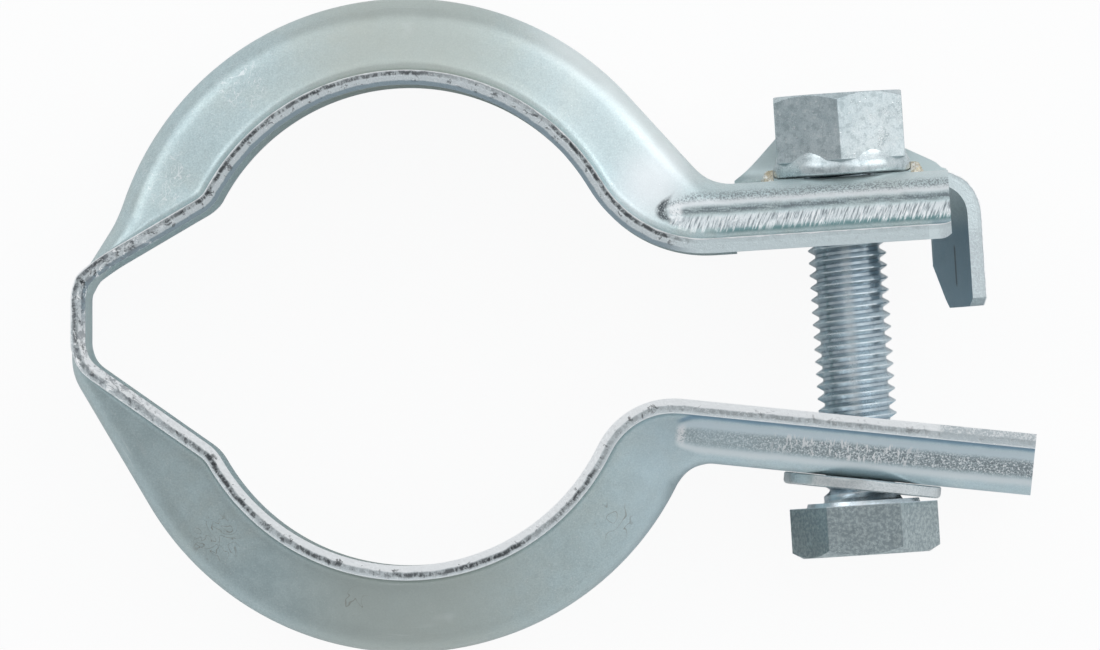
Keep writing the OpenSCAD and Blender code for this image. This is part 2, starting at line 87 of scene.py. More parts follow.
class Value:
    """A shader socket that takes part in Python expressions."""

    def __init__(self, net: "Net", socket: Socket) -> None:
        """Wraps a socket.

        Args:
            net: The material's node net.
            socket: The output socket that carries the number.
        """
        self.net = net
        self.socket = socket

    def _math(
        self, operation: str, *others: "Value | float", first: "Value | float | None" = None
    ) -> "Value":
        """Adds one Math node.

        Args:
            operation: The Math node's operation.
            others: The operands after the first one.
            first: The first operand, this value where it is None.

        Returns:
            The node's result.
        """
        operands = [self if first is None else first, *others]
        node = self.net.add("ShaderNodeMath", {"operation": operation}, dict(enumerate(operands)))
        return Value(self.net, node.outputs[0])

    def __add__(self, other: "Value | float") -> "Value":
        """Sum."""
        return self._math("ADD", other)

    __radd__ = __add__

    def __sub__(self, other: "Value | float") -> "Value":
        """Difference."""
        return self._math("SUBTRACT", other)

    def __rsub__(self, other: float) -> "Value":
        """Difference with the number first."""
        return self._math("SUBTRACT", self, first=other)

    def __mul__(self, other: "Value | float") -> "Value":
        """Product."""
        return self._math("MULTIPLY", other)

    __rmul__ = __mul__

    def __truediv__(self, other: "Value | float") -> "Value":
        """Quotient."""
        return self._math("DIVIDE", other)

    def __pow__(self, other: float) -> "Value":
        """Power."""
        return self._math("POWER", other)

    def size(self) -> "Value":
        """Size without the sign."""
        return self._math("ABSOLUTE")

    def highest(self, other: "Value | float") -> "Value":
        """The larger of two values."""
        return self._math("MAXIMUM", other)

    def ramp(self, low: float, high: float, to_low: float = 0.0, to_high: float = 1.0) -> "Value":
        """A smooth step between two values.

        Args:
            low: Input at which the step starts.
            high: Input at which the step ends.
            to_low: Result before the step.
            to_high: Result after the step.

        Returns:
            The stepped value.
        """
        node = self.net.add(
            "ShaderNodeMapRange",
            {"interpolation_type": "SMOOTHSTEP"},
            {"Value": self, "From Min": low, "From Max": high, "To Min": to_low, "To Max": to_high},
        )
        return Value(self.net, node.outputs["Result"])

    def band(self, centre: float, half: float, soft: float) -> "Value":
        """One inside a band and nothing outside it.

        Args:
            centre: Middle of the band.
            half: Half of the band's width.
            soft: Width of its soft edge.

        Returns:
            The band's mask.
        """
        return (self - centre).size().ramp(half - soft / 2, half + soft / 2, 1.0, 0.0)


class Net:
    """A node tree that is built by expressions."""

    def __init__(self, tree: bpy.types.NodeTree) -> None:
        """Wraps a node tree.

        Args:
            tree: The tree.
        """
        self.tree = tree

    def add(
        self,
        kind: str,
        settings: dict[str, object] | None = None,
        inputs: dict[str | int, object] | None = None,
    ) -> bpy.types.Node:
        """Adds one node.

        Args:
            kind: The node's type.
            settings: Properties that are set before the sockets.
            inputs: Values, sockets or colours of its input sockets.

        Returns:
            The node.
        """
        node = self.tree.nodes.new(kind)
        for key, setting in (settings or {}).items():
            setattr(node, key, setting)
        for key, given in (inputs or {}).items():
            self.feed(node.inputs[key], given)
        return node

    def feed(self, socket: Socket, given: object) -> None:
        """Links or sets one input socket.

        Args:
            socket: The input socket.
            given: A value, an output socket or a plain number, colour or vector.
        """
        if isinstance(given, Value):
            given = given.socket
        if isinstance(given, Socket):
            self.tree.links.new(given, socket)
        elif isinstance(given, (tuple, list)) and len(given) == 3 and socket.type == "RGBA":
            socket.default_value = (*given, 1.0)
        else:
            socket.default_value = given

    def place(
        self, scale: Sequence[float] = (1.0, 1.0, 1.0), turn: Sequence[float] = (0.0, 0.0, 0.0)
    ) -> Socket:
        """Object coordinates in millimetres, scaled and turned.

        Args:
            scale: Scale along each axis.
            turn: Turn about each axis in degrees.

        Returns:
            The coordinates.
        """
        coords = self.add("ShaderNodeTexCoord").outputs["Object"]
        node = self.add(
            "ShaderNodeMapping",
            {"vector_type": "TEXTURE"},
            {"Vector": coords, "Rotation": [math.radians(a) for a in turn], "Scale": [MM / s for s in scale]},
        )
        return node.outputs["Vector"]

    def strip(self) -> Socket:
        """The strap's own coordinates: along, across, and depth in the sheet."""
        return self.add("ShaderNodeAttribute", {"attribute_name": "strip"}).outputs["Vector"]

    def parts(self, vector: Socket) -> tuple[Value, Value, Value]:
        """The three numbers of a vector."""
        node = self.add("ShaderNodeSeparateXYZ", None, {"Vector": vector})
        return Value(self, node.outputs[0]), Value(self, node.outputs[1]), Value(self, node.outputs[2])

    def stretched(self, vector: Socket, scale: Sequence[float]) -> Socket:
        """A vector multiplied axis by axis."""
        node = self.add("ShaderNodeVectorMath", {"operation": "MULTIPLY"}, {0: vector, 1: list(scale)})
        return node.outputs["Vector"]

    def noise(self, vector: Socket, detail: float = 3.0, rough: float = 0.5, warp: float = 0.0) -> Value:
        """Smooth noise between nothing and one, with one wave per unit.

        Args:
            vector: Its coordinates.
            detail: Number of octaves.
            rough: Strength of each octave.
            warp: Distortion.

        Returns:
            The noise.
        """
        node = self.add(
            "ShaderNodeTexNoise",
            {"noise_dimensions": "3D"},
            {"Vector": vector, "Scale": 1.0, "Detail": detail, "Roughness": rough, "Distortion": warp},
        )
        return Value(self, node.outputs["Fac"])

    def grain(self, per_mm: float, detail: float = 3.0, rough: float = 0.5, warp: float = 0.0) -> Value:
        """Noise that is alike in every direction of the piece's own space.

        Args:
            per_mm: Waves per millimetre.
            detail: Number of octaves.
            rough: Strength of each octave.
            warp: Distortion.

        Returns:
            The noise.
        """
        return self.noise(self.place((per_mm,) * 3), detail, rough, warp)

    def cells(self, per_mm: float) -> tuple[Value, Value]:
        """Cells: the distance to the nearest centre and a random number for each cell.

        Args:
            per_mm: Cells per millimetre.

        Returns:
            The distance and the random number.
        """
        vector = self.place((per_mm,) * 3)
        node = self.add("ShaderNodeTexVoronoi", {"feature": "F1"}, {"Vector": vector, "Scale": 1.0})
        return Value(self, node.outputs["Distance"]), self.parts(node.outputs["Color"])[0]

    def mix(self, share: Value | float, low: object, high: object) -> Socket:
        """A colour between two colours.

        Args:
            share: Share of the second colour.
            low: First colour.
            high: Second colour.

        Returns:
            The mixed colour.
        """
        node = self.add("ShaderNodeMix", {"data_type": "RGBA", "clamp_factor": True})
        self.feed(node.inputs[0], share)
        self.feed(node.inputs[6], low)
        self.feed(node.inputs[7], high)
        return node.outputs[2]

    def bump(self, height: Value, depth: float, share: float = 1.0) -> Socket:
        """A bump map.

        Args:
            height: Height between nothing and one.
            depth: Real depth in millimetres.
            share: Strength of the bump.

        Returns:
            The bumped normal.
        """
        node = self.add("ShaderNodeBump", None, {"Height": height, "Distance": depth * MM, "Strength": share})
        return node.outputs["Normal"]


class MaterialNet(Net):
    """The node net of one material with a Principled shader."""

    def __init__(self, name: str) -> None:
        """Starts the material.

        Args:
            name: Name of the material.
        """
        self.material = bpy.data.materials.new(name)
        self.material.use_nodes = True
        super().__init__(self.material.node_tree)
        self.shader = self.tree.nodes["Principled BSDF"]

    def finish(self, **sockets: object) -> bpy.types.Material:
        """Sets the shader's sockets.

        Args:
            sockets: Socket names with underscores for spaces, and what feeds them.

        Returns:
            The material.
        """
        for name, given in sockets.items():
            self.feed(self.shader.inputs[name.replace("_", " ")], given)
        return self.material


@dataclass(frozen=True)
class ZincPlate:
    """Zinc plate with a pale passivation, as it is on all the pieces."""

    name: str
    base: Tone = (0.60, 0.69, 0.695)
    cool: Tone = (0.49, 0.60, 0.62)
    warm: Tone = (0.65, 0.70, 0.66)
    fleck: Tone = (0.86, 0.88, 0.88)
    rough: float = 0.36
    grain: float = 1.0
    flecks: float = 0.5
    scratches: float = 0.5
    mottle: float = 0.12
    shade: Tone = (0.3, 0.36, 0.38)
    patch: Tone = (0.34, 0.41, 0.43)

    def scratch_mask(self, net: Net) -> Value:
        """Fine straight scratches in three directions, gathered in patches.

        Args:
            net: The material's net.

        Returns:
            Their mask.
        """
        total: Value | None = None
        for turn, scale in (((10, 0, 35), 1.0), ((0, 12, -50), 1.4), ((5, -8, 80), 0.8)):
            lines = net.noise(net.place((7.0 * scale, 0.16, 0.5), turn), 2.0, 0.6)
            patch = net.noise(net.place((0.22, 0.22, 0.22), turn), 2.0)
            mask = lines.ramp(0.69, 0.76) * patch.ramp(0.5, 0.66)
            total = mask if total is None else total.highest(mask)
        return total

    def surface(self, net: Net) -> tuple[Socket, Value, Value]:
        """Colour, roughness and height of the plated face.

        Args:
            net: The material's net.

        Returns:
            Colour, roughness and height.
        """
        broad = net.grain(0.07, 2.0)
        cloud = net.grain(0.45, 4.0, 0.6)
        fine = net.grain(6.0, 3.0, 0.65)
        near, chance = net.cells(3.6)
        spark = chance.ramp(0.86, 0.93) * near.ramp(0.12, 0.34, 1.0, 0.0) * self.flecks
        line = self.scratch_mask(net) * self.scratches
        colour = net.mix(broad.ramp(0.36, 0.64), self.cool, self.warm)
        colour = net.mix(cloud.ramp(0.3, 0.7, 0.35, 0.95), colour, self.base)
        colour = net.mix(fine.ramp(0.42, 0.66, 0.0, 0.26) * self.grain, colour, self.shade)
        colour = net.mix(fine.ramp(0.46, 0.32, 0.0, 0.3) * self.grain, colour, self.fleck)
        patches = net.grain(1.3, 5.0, 0.72)
        colour = net.mix(patches.ramp(0.5, 0.6) * self.mottle, colour, self.patch)
        colour = net.mix(patches.ramp(0.42, 0.32) * self.mottle, colour, self.fleck)
        colour = net.mix(spark.highest(line * 0.7), colour, self.fleck)
        rough = cloud.ramp(0.25, 0.75, self.rough - 0.05, self.rough + 0.06) + fine * 0.06 - spark * 0.1
        height = fine * 0.35 * self.grain + cloud * 0.5 + spark * 0.3 - line * 0.6 + patches * self.mottle
        return colour, rough, height

    def material(self) -> bpy.types.Material:
        """Builds the material.

        Returns:
            The finished material.
        """
        net = MaterialNet(self.name)
        colour, rough, height = self.surface(net)
        return net.finish(
            Base_Color=colour, Metallic=0.9, Roughness=rough, Normal=net.bump(height, 0.02, 0.6)
        )


@dataclass(frozen=True)
class BoltPlate(ZincPlate):
    """The bolt's plate: bright on the thread, dull on the head."""

    head: Tone = (0.49, 0.56, 0.56)
    head_dark: Tone = (0.28, 0.335, 0.35)
    groove_shade: Tone = (0.30, 0.37, 0.42)
    thread_highlight: Tone = (0.96, 0.99, 1.0)
    at: BoltPlace = BoltPlace()
    head_from: float = -23.9

    def surface(self, net: Net) -> tuple[Socket, Value, Value]:
        """Colour, roughness and height, with the head's own colour.

        Args:
            net: The material's net.

        Returns:
            Colour, roughness and height.
        """
        colour, rough, height = super().surface(net)
        x, y, z = net.parts(net.place())
        tilt = math.radians(self.at.tilt)
        level = y * math.cos(tilt) - x * math.sin(tilt)
        across = x * math.cos(tilt) + y * math.sin(tilt) - self.at.along
        radius = (across * across + z * z) ** 0.5
        mottle = net.grain(2.6, 4.0, 0.7)
        dull = net.mix(mottle.ramp(0.4, 0.62), self.head_dark, self.head)
        dull = net.mix(mottle.ramp(0.64, 0.7) * 0.5, dull, self.fleck)
        # painted shade in the thread's roots
        colour = net.mix(radius.ramp(3.68, 3.3) * 0.5, colour, self.groove_shade)
        # painted highlight: a pale band down the thread's middle
        colour = net.mix(across.band(-0.2, 0.5, 0.8) * 0.5, colour, self.thread_highlight)
        head = level.ramp(self.head_from, self.head_from - 0.1)
        return net.mix(head * 0.9, colour, dull), rough, height + mottle * 0.6


@dataclass(frozen=True)
class StrapFace(ZincPlate):
    """The strap's plated faces, tinted along the crown, with painted shade along the lips, painted highlights
    on the arms, and painted reflection and shade bands on the ears.
    """

    top: Tone = (0.56, 0.585, 0.53)
    lip_shade_tint: Tone = (0.34, 0.46, 0.475)
    dark: Tone = (0.10, 0.12, 0.13)
    white: Tone = (0.96, 0.965, 0.97)
    lower_arm_shade: Tone = (0.25, 0.31, 0.31)
    curls: Tone = (0.21, 0.17, 0.13)
    right_end_highlight: Tone = (0.93, 0.97, 0.96)
    glare: Tone = (0.92, 0.93, 0.94)
    sky: Tone = (0.60, 0.76, 0.86)
    guard: Tone = (0.93, 1.0, 1.0)
    tab: Tone = (0.22, 0.36, 0.46)
    pale_reflection_band: Tone = (0.86, 0.87, 0.88)
    rough_band: Tone = (0.26, 0.29, 0.31)
    dark_reflection_band: Tone = (0.14, 0.165, 0.18)
    teal_shadow_band: Tone = (0.17, 0.30, 0.31)
    plain_band: Tone = (0.70, 0.73, 0.75)
    scrape: Tone = (0.17, 0.2, 0.22)
    thumb: Tone = (0.06, 0.07, 0.08)
    blue_reflection_band: Tone = (0.24, 0.38, 0.50)
    sky_reflection_band: Tone = (0.76, 0.86, 0.91)
    white_reflection_band: Tone = (0.86, 0.92, 0.94)
    speckled_reflection_band: Tone = (0.22, 0.245, 0.26)

    def ear_frame(self, net: Net, side: Side) -> tuple[Value, Value, Value]:
        """Place along an ear, height over its seat, and whether a point is on its walls.

        Args:
            net: The material's net.
            side: The ear.

        Returns:
            Length, height and mask.
        """
        x, y, z = net.parts(net.place())
        tilt = math.radians(UPPER_TILT if side is Side.UPPER else LOWER_TILT)
        y = y if side is Side.UPPER else -SEAT_DROP - y
        along = x * math.cos(tilt) + y * math.sin(tilt)
        height = y * math.cos(tilt) - x * math.sin(tilt)
        return along, height, z.size().ramp(4.6, 5.6)

    def lines(self, net: Net, along: Value, height: Value, pitch: float, slant: float) -> Value:
        """Scrape lines square to an ear.

        Args:
            net: The material's net.
            along: Place along the ear.
            height: Height over the seat.
            pitch: Lines per millimetre.
            slant: How far the lines lean.

        Returns:
            Their noise.
        """
        across = (along + height * slant) * pitch
        node = net.add("ShaderNodeCombineXYZ", None, {0: across, 1: height * 0.55, 2: 0.0})
        return net.noise(node.outputs[0], 3.0, 0.65)

    def upper_ear(self, net: Net, colour: Socket) -> tuple[Socket, Value]:
        """Painted reflection and shade bands on the upper ear's walls, with the press's scrape and scratch
        marks.

        Args:
            net: The material's net.
            colour: Colour so far.

        Returns:
            The new colour and the height of the marks.
        """
        along, v, wall = self.ear_frame(net, Side.UPPER)
        wander = net.noise(net.stretched(net.place(), (0.35, 0.0, 0.0)), 3.0, 0.6) - 0.5
        v = 6.9 + (v - 6.9) / along.ramp(25.8, 29.6, 0.5, 1.0) + wander * 0.4
        wall = wall * along.ramp(26.6, 27.4)
        speck = net.grain(5.0, 4.0, 0.75)
        drawn = net.noise(net.stretched(net.place(), (0.5, 3.4, 3.4)), 3.0, 0.6)
        line = self.lines(net, along, v, 4.2, -0.42)
        rough = v.band(8.2, 0.4, 0.6) * wall
        dark = v.band(6.85, 0.36, 0.6) * wall
        low = v.band(4.72, 0.32, 0.5) * wall * along.ramp(28.5, 34.0)
        field = v.band(5.62, 0.62, 0.6) * wall
        # painted reflection: a pale band along the crown bend
        colour = net.mix(v.band(7.62, 0.32, 0.6) * wall * 0.8, colour, self.pale_reflection_band)
        colour = net.mix(rough * speck.ramp(0.46, 0.57) * 0.85, colour, self.rough_band)
        # painted reflection: a dark band along the crown bend, broken up by noise
        reflection_breakup = (speck * 0.5 + drawn * 0.5).ramp(0.62, 0.42, 0.35, 0.9)
        colour = net.mix(dark * reflection_breakup, colour, self.dark_reflection_band)
        # painted shade: a teal band along the lip's bend
        colour = net.mix(low * 0.92, colour, self.teal_shadow_band)
        colour = net.mix(field * 0.8, colour, self.plain_band)
        colour = net.mix(field * line.ramp(0.5, 0.38) * 0.8, colour, self.scrape)
        patchy = net.grain(0.45, 2.0).ramp(0.38, 0.56, 0.45, 1.0)
        scratch = v.band(5.4, 0.72, 0.7) * wall * line.ramp(0.5, 0.57) * patchy
        colour = net.mix(scratch, colour, self.white)
        curve = along + (v - 7.2) * (v - 7.2) * -0.16
        thumb = curve.band(26.25, 0.5, 0.6) * v.band(7.3, 1.9, 1.2)
        colour = net.mix(thumb * speck.ramp(0.3, 0.52) * 0.95, colour, self.thumb)
        # painted highlight: a bright patch at the ear's start
        bright = along.band(27.7, 0.6, 0.7) * v.band(6.9, 1.0, 1.0)
        colour = net.mix(bright * speck.ramp(0.62, 0.5) * 0.9, colour, self.white)
        return colour, scratch * 1.4 + rough * speck * 2 - dark * 0.4

    def lower_ear(self, net: Net, colour: Socket) -> tuple[Socket, Value]:
        """Painted reflection bands on the lower ear's walls, with scratches and flecks.

        Args:
            net: The material's net.
            colour: Colour so far.

        Returns:
            The new colour and the height of the marks.
        """
        along, v, wall = self.ear_frame(net, Side.LOWER)
        wander = net.noise(net.stretched(net.place(), (0.3, 0.0, 0.0)), 3.0, 0.6) - 0.5
        v = 5.6 + (v - 5.6) / along.ramp(26.5, 30.5, 0.5, 1.0) + wander * 0.3
        wall = wall * along.ramp(27.6, 28.6)
        speck = net.grain(5.4, 4.0, 0.75)
        line = self.lines(net, along, v, 2.2, 0.05)
        field = v.band(5.5, 0.8, 0.7) * wall * along.ramp(30.0, 46.0, 0.45, 1.0)
        # painted reflections: blue, sky-blue and white bands along the wall
        colour = net.mix(v.band(3.4, 0.3, 0.4) * wall * 0.8, colour, self.blue_reflection_band)
        colour = net.mix(v.band(4.25, 0.4, 0.5) * wall * 0.85, colour, self.sky_reflection_band)
        colour = net.mix(v.band(6.8, 0.34, 0.6) * wall * 0.85, colour, self.white_reflection_band)
        # painted reflection: a speckled dark band on the wall, stronger towards the ear's end
        colour = net.mix(field * speck.ramp(0.42, 0.6, 0.3, 0.9), colour, self.speckled_reflection_band)
        flecks = field * speck.ramp(0.49, 0.4)
        scratch = v.band(5.4, 1.0, 0.5) * wall * line.ramp(0.545, 0.58) * along.band(45.0, 7.0, 4.0)
        colour = net.mix(flecks.highest(scratch * 0.9), colour, self.white)
        thumb = along.band(28.4, 0.4, 0.6) * v.band(5.4, 1.2, 1.0)
        colour = net.mix(thumb * speck.ramp(0.62, 0.5) * 0.9, colour, self.white)
        return colour, scratch + field * speck * 2

    def squiggles(self, net: Net, centre: Point, radius: float, scale: float) -> Value:
        """Fine curled marks in a round patch of the near wall.

        Args:
            net: The material's net.
            centre: Centre of the patch.
            radius: Its radius.
            scale: Curls per millimetre.

        Returns:
            Their mask.
        """
        x, y, z = net.parts(net.place())
        away = ((x - centre[0]) * (x - centre[0]) + (y - centre[1]) * (y - centre[1])) ** 0.5
        curl = net.noise(net.place((scale, scale, 0.02)), 1.0, 0.5, 1.6)
        line = (curl - 0.5).size().ramp(0.006, 0.02, 1.0, 0.0)
        return line * away.ramp(radius * 0.5, radius, 1.0, 0.0) * z.ramp(0.0, 2.0)

    def material(self) -> bpy.types.Material:
        """Builds the material.

        Returns:
            The finished material.
        """
        net = MaterialNet(self.name)
        colour, rough, height = self.surface(net)
        x, y, z = net.parts(net.place())
        _, across, _ = net.parts(net.strip())
        side = across.size()
        colour = net.mix(x.size().ramp(4.0, 17.0, 0.7, 0.0), colour, self.top)
        # painted shade: the lower arm is painted darker than the upper one
        colour = net.mix(y.ramp(-16.0, 2.0, 0.24, 0.0) * x.ramp(24.0, 34.0, 1.0, 0.0), colour, self.lower_arm_shade)
        # painted shade: the sheet is painted darker teal towards the lips
        colour = net.mix(side.ramp(10.2, 13.2) * 0.6, colour, self.lip_shade_tint)
        # drawn lines run along the strap where the sheet flowed over the die
        drawn = net.noise(net.stretched(net.strip(), (0.12, 4.2, 0.0)), 3.0, 0.6)
        fields = net.noise(net.stretched(net.strip(), (0.05, 0.12, 0.0)), 2.0)
        lines = drawn.ramp(0.58, 0.72) * fields.ramp(0.46, 0.62)
        colour = net.mix(lines * 0.3, colour, self.fleck)
        marks = self.squiggles(net, (-19.2, -24.4), 3.0, 0.55)
        marks = marks.highest(self.squiggles(net, (21.0, -22.6), 2.4, 0.4))
        marks = marks.highest(self.squiggles(net, (-5.2, -30.6), 1.8, 0.5) * 0.7)
        colour = net.mix(marks * 0.6, colour, self.curls)
        pale = self.squiggles(net, (-16.6, 21.4), 3.2, 0.7)
        pale = pale.highest(self.squiggles(net, (-24.0, 12.0), 3.4, 0.6))
        colour = net.mix(pale * 0.5, colour, self.white)
        # painted highlight: the right end of the arms is painted brighter
        right_end_highlight = y.ramp(9.0, 15.0) * x.ramp(9.0, 17.0) * side.ramp(9.4, 6.8)
        colour = net.mix(right_end_highlight * 0.75, colour, self.right_end_highlight)
        # painted highlight: a bright round patch on the bend beside the upper ear
        away = ((x - 24.8) * (x - 24.8) + (y - 11.4) * (y - 11.4)) ** 0.5
        colour = net.mix(away.ramp(5.5, 0.6) * z.ramp(0.0, 4.0) * 0.75, colour, self.glare)
        # painted sky reflection: a bluer patch on the lower arm near its ear
        colour = net.mix(x.ramp(18.0, 26.0) * y.ramp(-9.0, -12.0) * 0.3, colour, self.sky)
        # painted light: the guard at the back is painted near white; painted shade: the tab's inner face is
        # painted dark blue
        guard = z.ramp(-7.4, -8.4) * x.ramp(33.0, 35.0) * y.ramp(9.0, 12.5)
        colour = net.mix(guard * 0.9, colour, self.guard)
        tab = x.ramp(52.9, 53.4) * y.ramp(-9.0, -8.0) * y.ramp(9.0, 6.5)
        colour = net.mix(tab * 0.75, colour, self.tab)
        # painted shade: a dark line along the tab's crease
        colour = net.mix(tab * z.band(-0.4, 0.22, 0.2) * y.band(3.3, 2.0, 0.5) * 0.8, colour, self.dark)
        colour, upper = self.upper_ear(net, colour)
        colour, lower = self.lower_ear(net, colour)
        height = height + upper + lower + lines * 0.3
        return net.finish(
            Base_Color=colour, Metallic=0.85, Roughness=rough, Normal=net.bump(height, 0.03, 0.7)
        )


@dataclass(frozen=True)
class ShearedEdge:
    """The strap's cut edges: a smooth sheared part, a dark torn part and a burr, painted as a bright
    highlight line.
    """

    name: str
    pits: Tone = (0.42, 0.46, 0.49)
    ear: Tone = (0.66, 0.75, 0.765)
    vein: Tone = (0.22, 0.24, 0.26)
    tab: Tone = (0.52, 0.57, 0.59)
    mid: Tone = (0.66, 0.70, 0.71)
    inner: Tone = (0.27, 0.335, 0.375)
    torn: Tone = (0.05, 0.055, 0.06)
    bright: Tone = (0.97, 0.97, 0.97)

    def material(self) -> bpy.types.Material:
        """Builds the material.

        Returns:
            The finished material.
        """
        net = MaterialNet(self.name)
        strip = net.strip()
        _, _, depth = net.parts(strip)
        x, y, _ = net.parts(net.place())
        lower = y.ramp(-5.0, -0.6, 1.0, 0.0)
        ear = x.ramp(25.0, 30.0)
        wander = net.noise(net.stretched(strip, (0.5, 0.0, 0.0)), 3.0, 0.65) - 0.5
        t = depth * 0.5 + 0.5 + wander * 0.28
        streak = net.noise(net.stretched(strip, (2.4, 0.0, 0.8)), 4.0, 0.7)
        fine = net.grain(4.5, 4.0, 0.7)
        lumps = net.grain(1.1, 5.0, 0.7, 0.5)
        tears = net.noise(net.stretched(strip, (0.06, 0.0, 0.0)), 1.0).ramp(0.4, 0.55, 0.35, 1.0)
        calm = 1 - ear * (1 - lower * 0.35) * 0.85
        neck = x.ramp(-22.0, -29.0)
        colour = net.mix(fine.ramp(0.35, 0.68, 0.0, 0.55), self.mid, self.pits)
        colour = net.mix(fine.ramp(0.56, 0.68) * 0.85, colour, self.bright)
        colour = net.mix(ear * (1 - lower) * 0.7, colour, self.ear)
        colour = net.mix(t.ramp(0.34, 0.24) * (1 - lower) * (1 - ear), colour, self.inner)
        colour = net.mix(t.ramp(0.52, 0.4) * lower * 0.95, colour, self.bright)
        # the torn part: blotches that gather in a band beside the burr
        upper_band = t.band(0.78, 0.13, 0.16) * (1 - lower)
        lower_band = t.band(0.66, 0.15, 0.18) * lower
        blotch = (lumps * 0.5 + streak * 0.5).ramp(0.42, 0.54, 0.25, 1.0)
        at_neck = neck * t.band(0.55, 0.35, 0.3) * lumps.ramp(0.52, 0.6)
        torn = (upper_band + lower_band).highest(at_neck) * blotch * tears * calm
        colour = net.mix(torn * 0.95, colour, self.torn)
        veins = net.noise(net.stretched(strip, (0.9, 0.0, 1.3)), 5.0, 0.75, 0.8)
        colour = net.mix(neck * veins.ramp(0.5, 0.6) * 0.7, colour, self.vein)
        colour = net.mix(neck * veins.ramp(0.45, 0.38), colour, self.bright)
        dents = lumps.ramp(0.57, 0.64) * calm * 0.75 * t.band(0.55, 0.32, 0.2)
        colour = net.mix(dents, colour, self.torn)
        on_tab = x.ramp(53.6, 54.4) * y.ramp(8.0, 6.0)
        colour = net.mix(on_tab * fine.ramp(0.4, 0.56, 0.25, 0.9), colour, self.tab)
        # painted highlight: a bright line along the burr
        burr_highlight = t.ramp(0.9, 0.96) * (1 - lower * 0.6)
        colour = net.mix(burr_highlight, colour, self.bright)
        rough = fine.ramp(0.2, 0.8, 0.26, 0.5) + torn * 0.2
        height = streak * 0.5 + fine * 0.7 - torn * 1.4 + lumps * 0.4 + burr_highlight * 0.6
        return net.finish(
            Base_Color=colour, Metallic=0.6, Roughness=rough, Normal=net.bump(height, 0.08, 0.75)
        )


@dataclass(frozen=True)
class WeldScorch:
    """Weld metal with a straw and brown heat tint."""

    name: str
    clean: Tone = (0.86, 0.86, 0.82)
    straw: Tone = (0.62, 0.54, 0.39)
    brown: Tone = (0.26, 0.21, 0.16)

    def material(self) -> bpy.types.Material:
        """Builds the material.

        Returns:
            The finished material.
        """
        net = MaterialNet(self.name)
        lumps = net.grain(1.6, 4.0, 0.6)
        fine = net.grain(6.0, 3.0, 0.7)
        colour = net.mix(lumps.ramp(0.35, 0.6), self.clean, self.straw)
        colour = net.mix(fine.ramp(0.52, 0.72), colour, self.brown)
        return net.finish(
            Base_Color=colour,
            Metallic=0.8,
            Roughness=fine.ramp(0.2, 0.8, 0.35, 0.6),
            Normal=net.bump(lumps + fine * 0.4, 0.08, 0.8),
        )


def settle(elements: object, key: Callable[[object], Sequence[float]]) -> None:
    """Puts a bmesh's vertices, edges or faces in the order of a key.

    Args:
        elements: The bmesh's sequence.
        key: Gives the key of one element.
    """
    for rank, element in enumerate(sorted(elements, key=key)):
        element.index = rank
    elements.sort()
    elements.index_update()


def as_mesh(bm: bmesh.types.BMesh, name: str) -> bpy.types.Mesh:
    """Turns a bmesh in millimetres into a mesh in metres.

    Args:
        bm: The bmesh, which is freed.
        name: Name of the mesh.

    Returns:
        The mesh.
    """
    bmesh.ops.scale(bm, vec=(MM, MM, MM), verts=bm.verts)
    # the order of the elements is made the same in every run
    settle(bm.verts, lambda v: tuple(round(x, 9) for x in v.co))
    settle(bm.edges, lambda e: sorted(v.index for v in e.verts))
    settle(bm.faces, lambda f: sorted(v.index for v in f.verts))
    mesh = bpy.data.meshes.new(name)
    bm.to_mesh(mesh)
    bm.free()
    return mesh


def as_piece(
    mesh: bpy.types.Mesh,
    materials: Sequence[bpy.types.Material],
    node: str,
    sharp: float,
) -> bpy.types.Object:
    """Puts a mesh into the scene as a piece that stands for a CAD node.

    Args:
        mesh: The mesh in the row frame.
        materials: Its materials in the order of its slots.
        node: The CAD node that it stands for.
        sharp: Angle in degrees from which an edge is drawn sharp.

    Returns:
        The object.
    """
    for material in materials:
        mesh.materials.append(material)
    piece = bpy.data.objects.new(mesh.name, mesh)
    bpy.context.scene.collection.objects.link(piece)
    mesh.shade_smooth()
    mesh.set_sharp_from_angle(angle=math.radians(sharp))
    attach(piece, "root")
    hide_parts(node)
    LOG.info("%s: %d faces", mesh.name, len(mesh.polygons))
    return piece


def bevelled(piece: bpy.types.Object, width: float, angle: float, segments: int = 2) -> None:
    """Rounds a piece's sharp edges.

    Args:
        piece: The piece.
        width: Width of the rounding in millimetres.
        angle: Angle in degrees from which an edge is rounded.
        segments: Number of faces across the rounding.
    """
    bevel = piece.modifiers.new("rounded edges", "BEVEL")
    bevel.width = width * MM
    bevel.segments = segments
    bevel.limit_method = "ANGLE"
    bevel.angle_limit = math.radians(angle)
    bevel.harden_normals = False
    bevel.use_clamp_overlap = True


def grow(
    bm: bmesh.types.BMesh,
    edges: Sequence[bmesh.types.BMEdge],
    move: Callable[[bmesh.types.BMVert, bmesh.types.BMVert], None],
    row: Row,
) -> Row:
    """Extrudes a row of edges and moves each new vertex.

    Args:
        bm: The bmesh.
        edges: The edges of the row.
        move: Called with each old vertex and its new one.
        row: The row's vertices in order.

    Returns:
        The new vertices in the same order.
    """
    made = bmesh.ops.extrude_edge_only(bm, edges=list(edges))["geom"]
    new = [v for v in made if isinstance(v, bmesh.types.BMVert)]
    by_place = {tuple(v.co): v for v in new}
    out = [by_place[tuple(v.co)] for v in row]
    for old, fresh in zip(row, out):
        move(old, fresh)
    return out


def stay(old: bmesh.types.BMVert, fresh: bmesh.types.BMVert) -> None:
    """Leaves a new vertex where its old one is."""


def row_edges(row: Row, closed: bool = False) -> list[bmesh.types.BMEdge]:
    """The edges between neighbouring vertices of a row."""
    pairs = list(zip(row, row[1:])) + ([(row[-1], row[0])] if closed else [])
    return [next(e for e in a.link_edges if b in e.verts) for a, b in pairs]


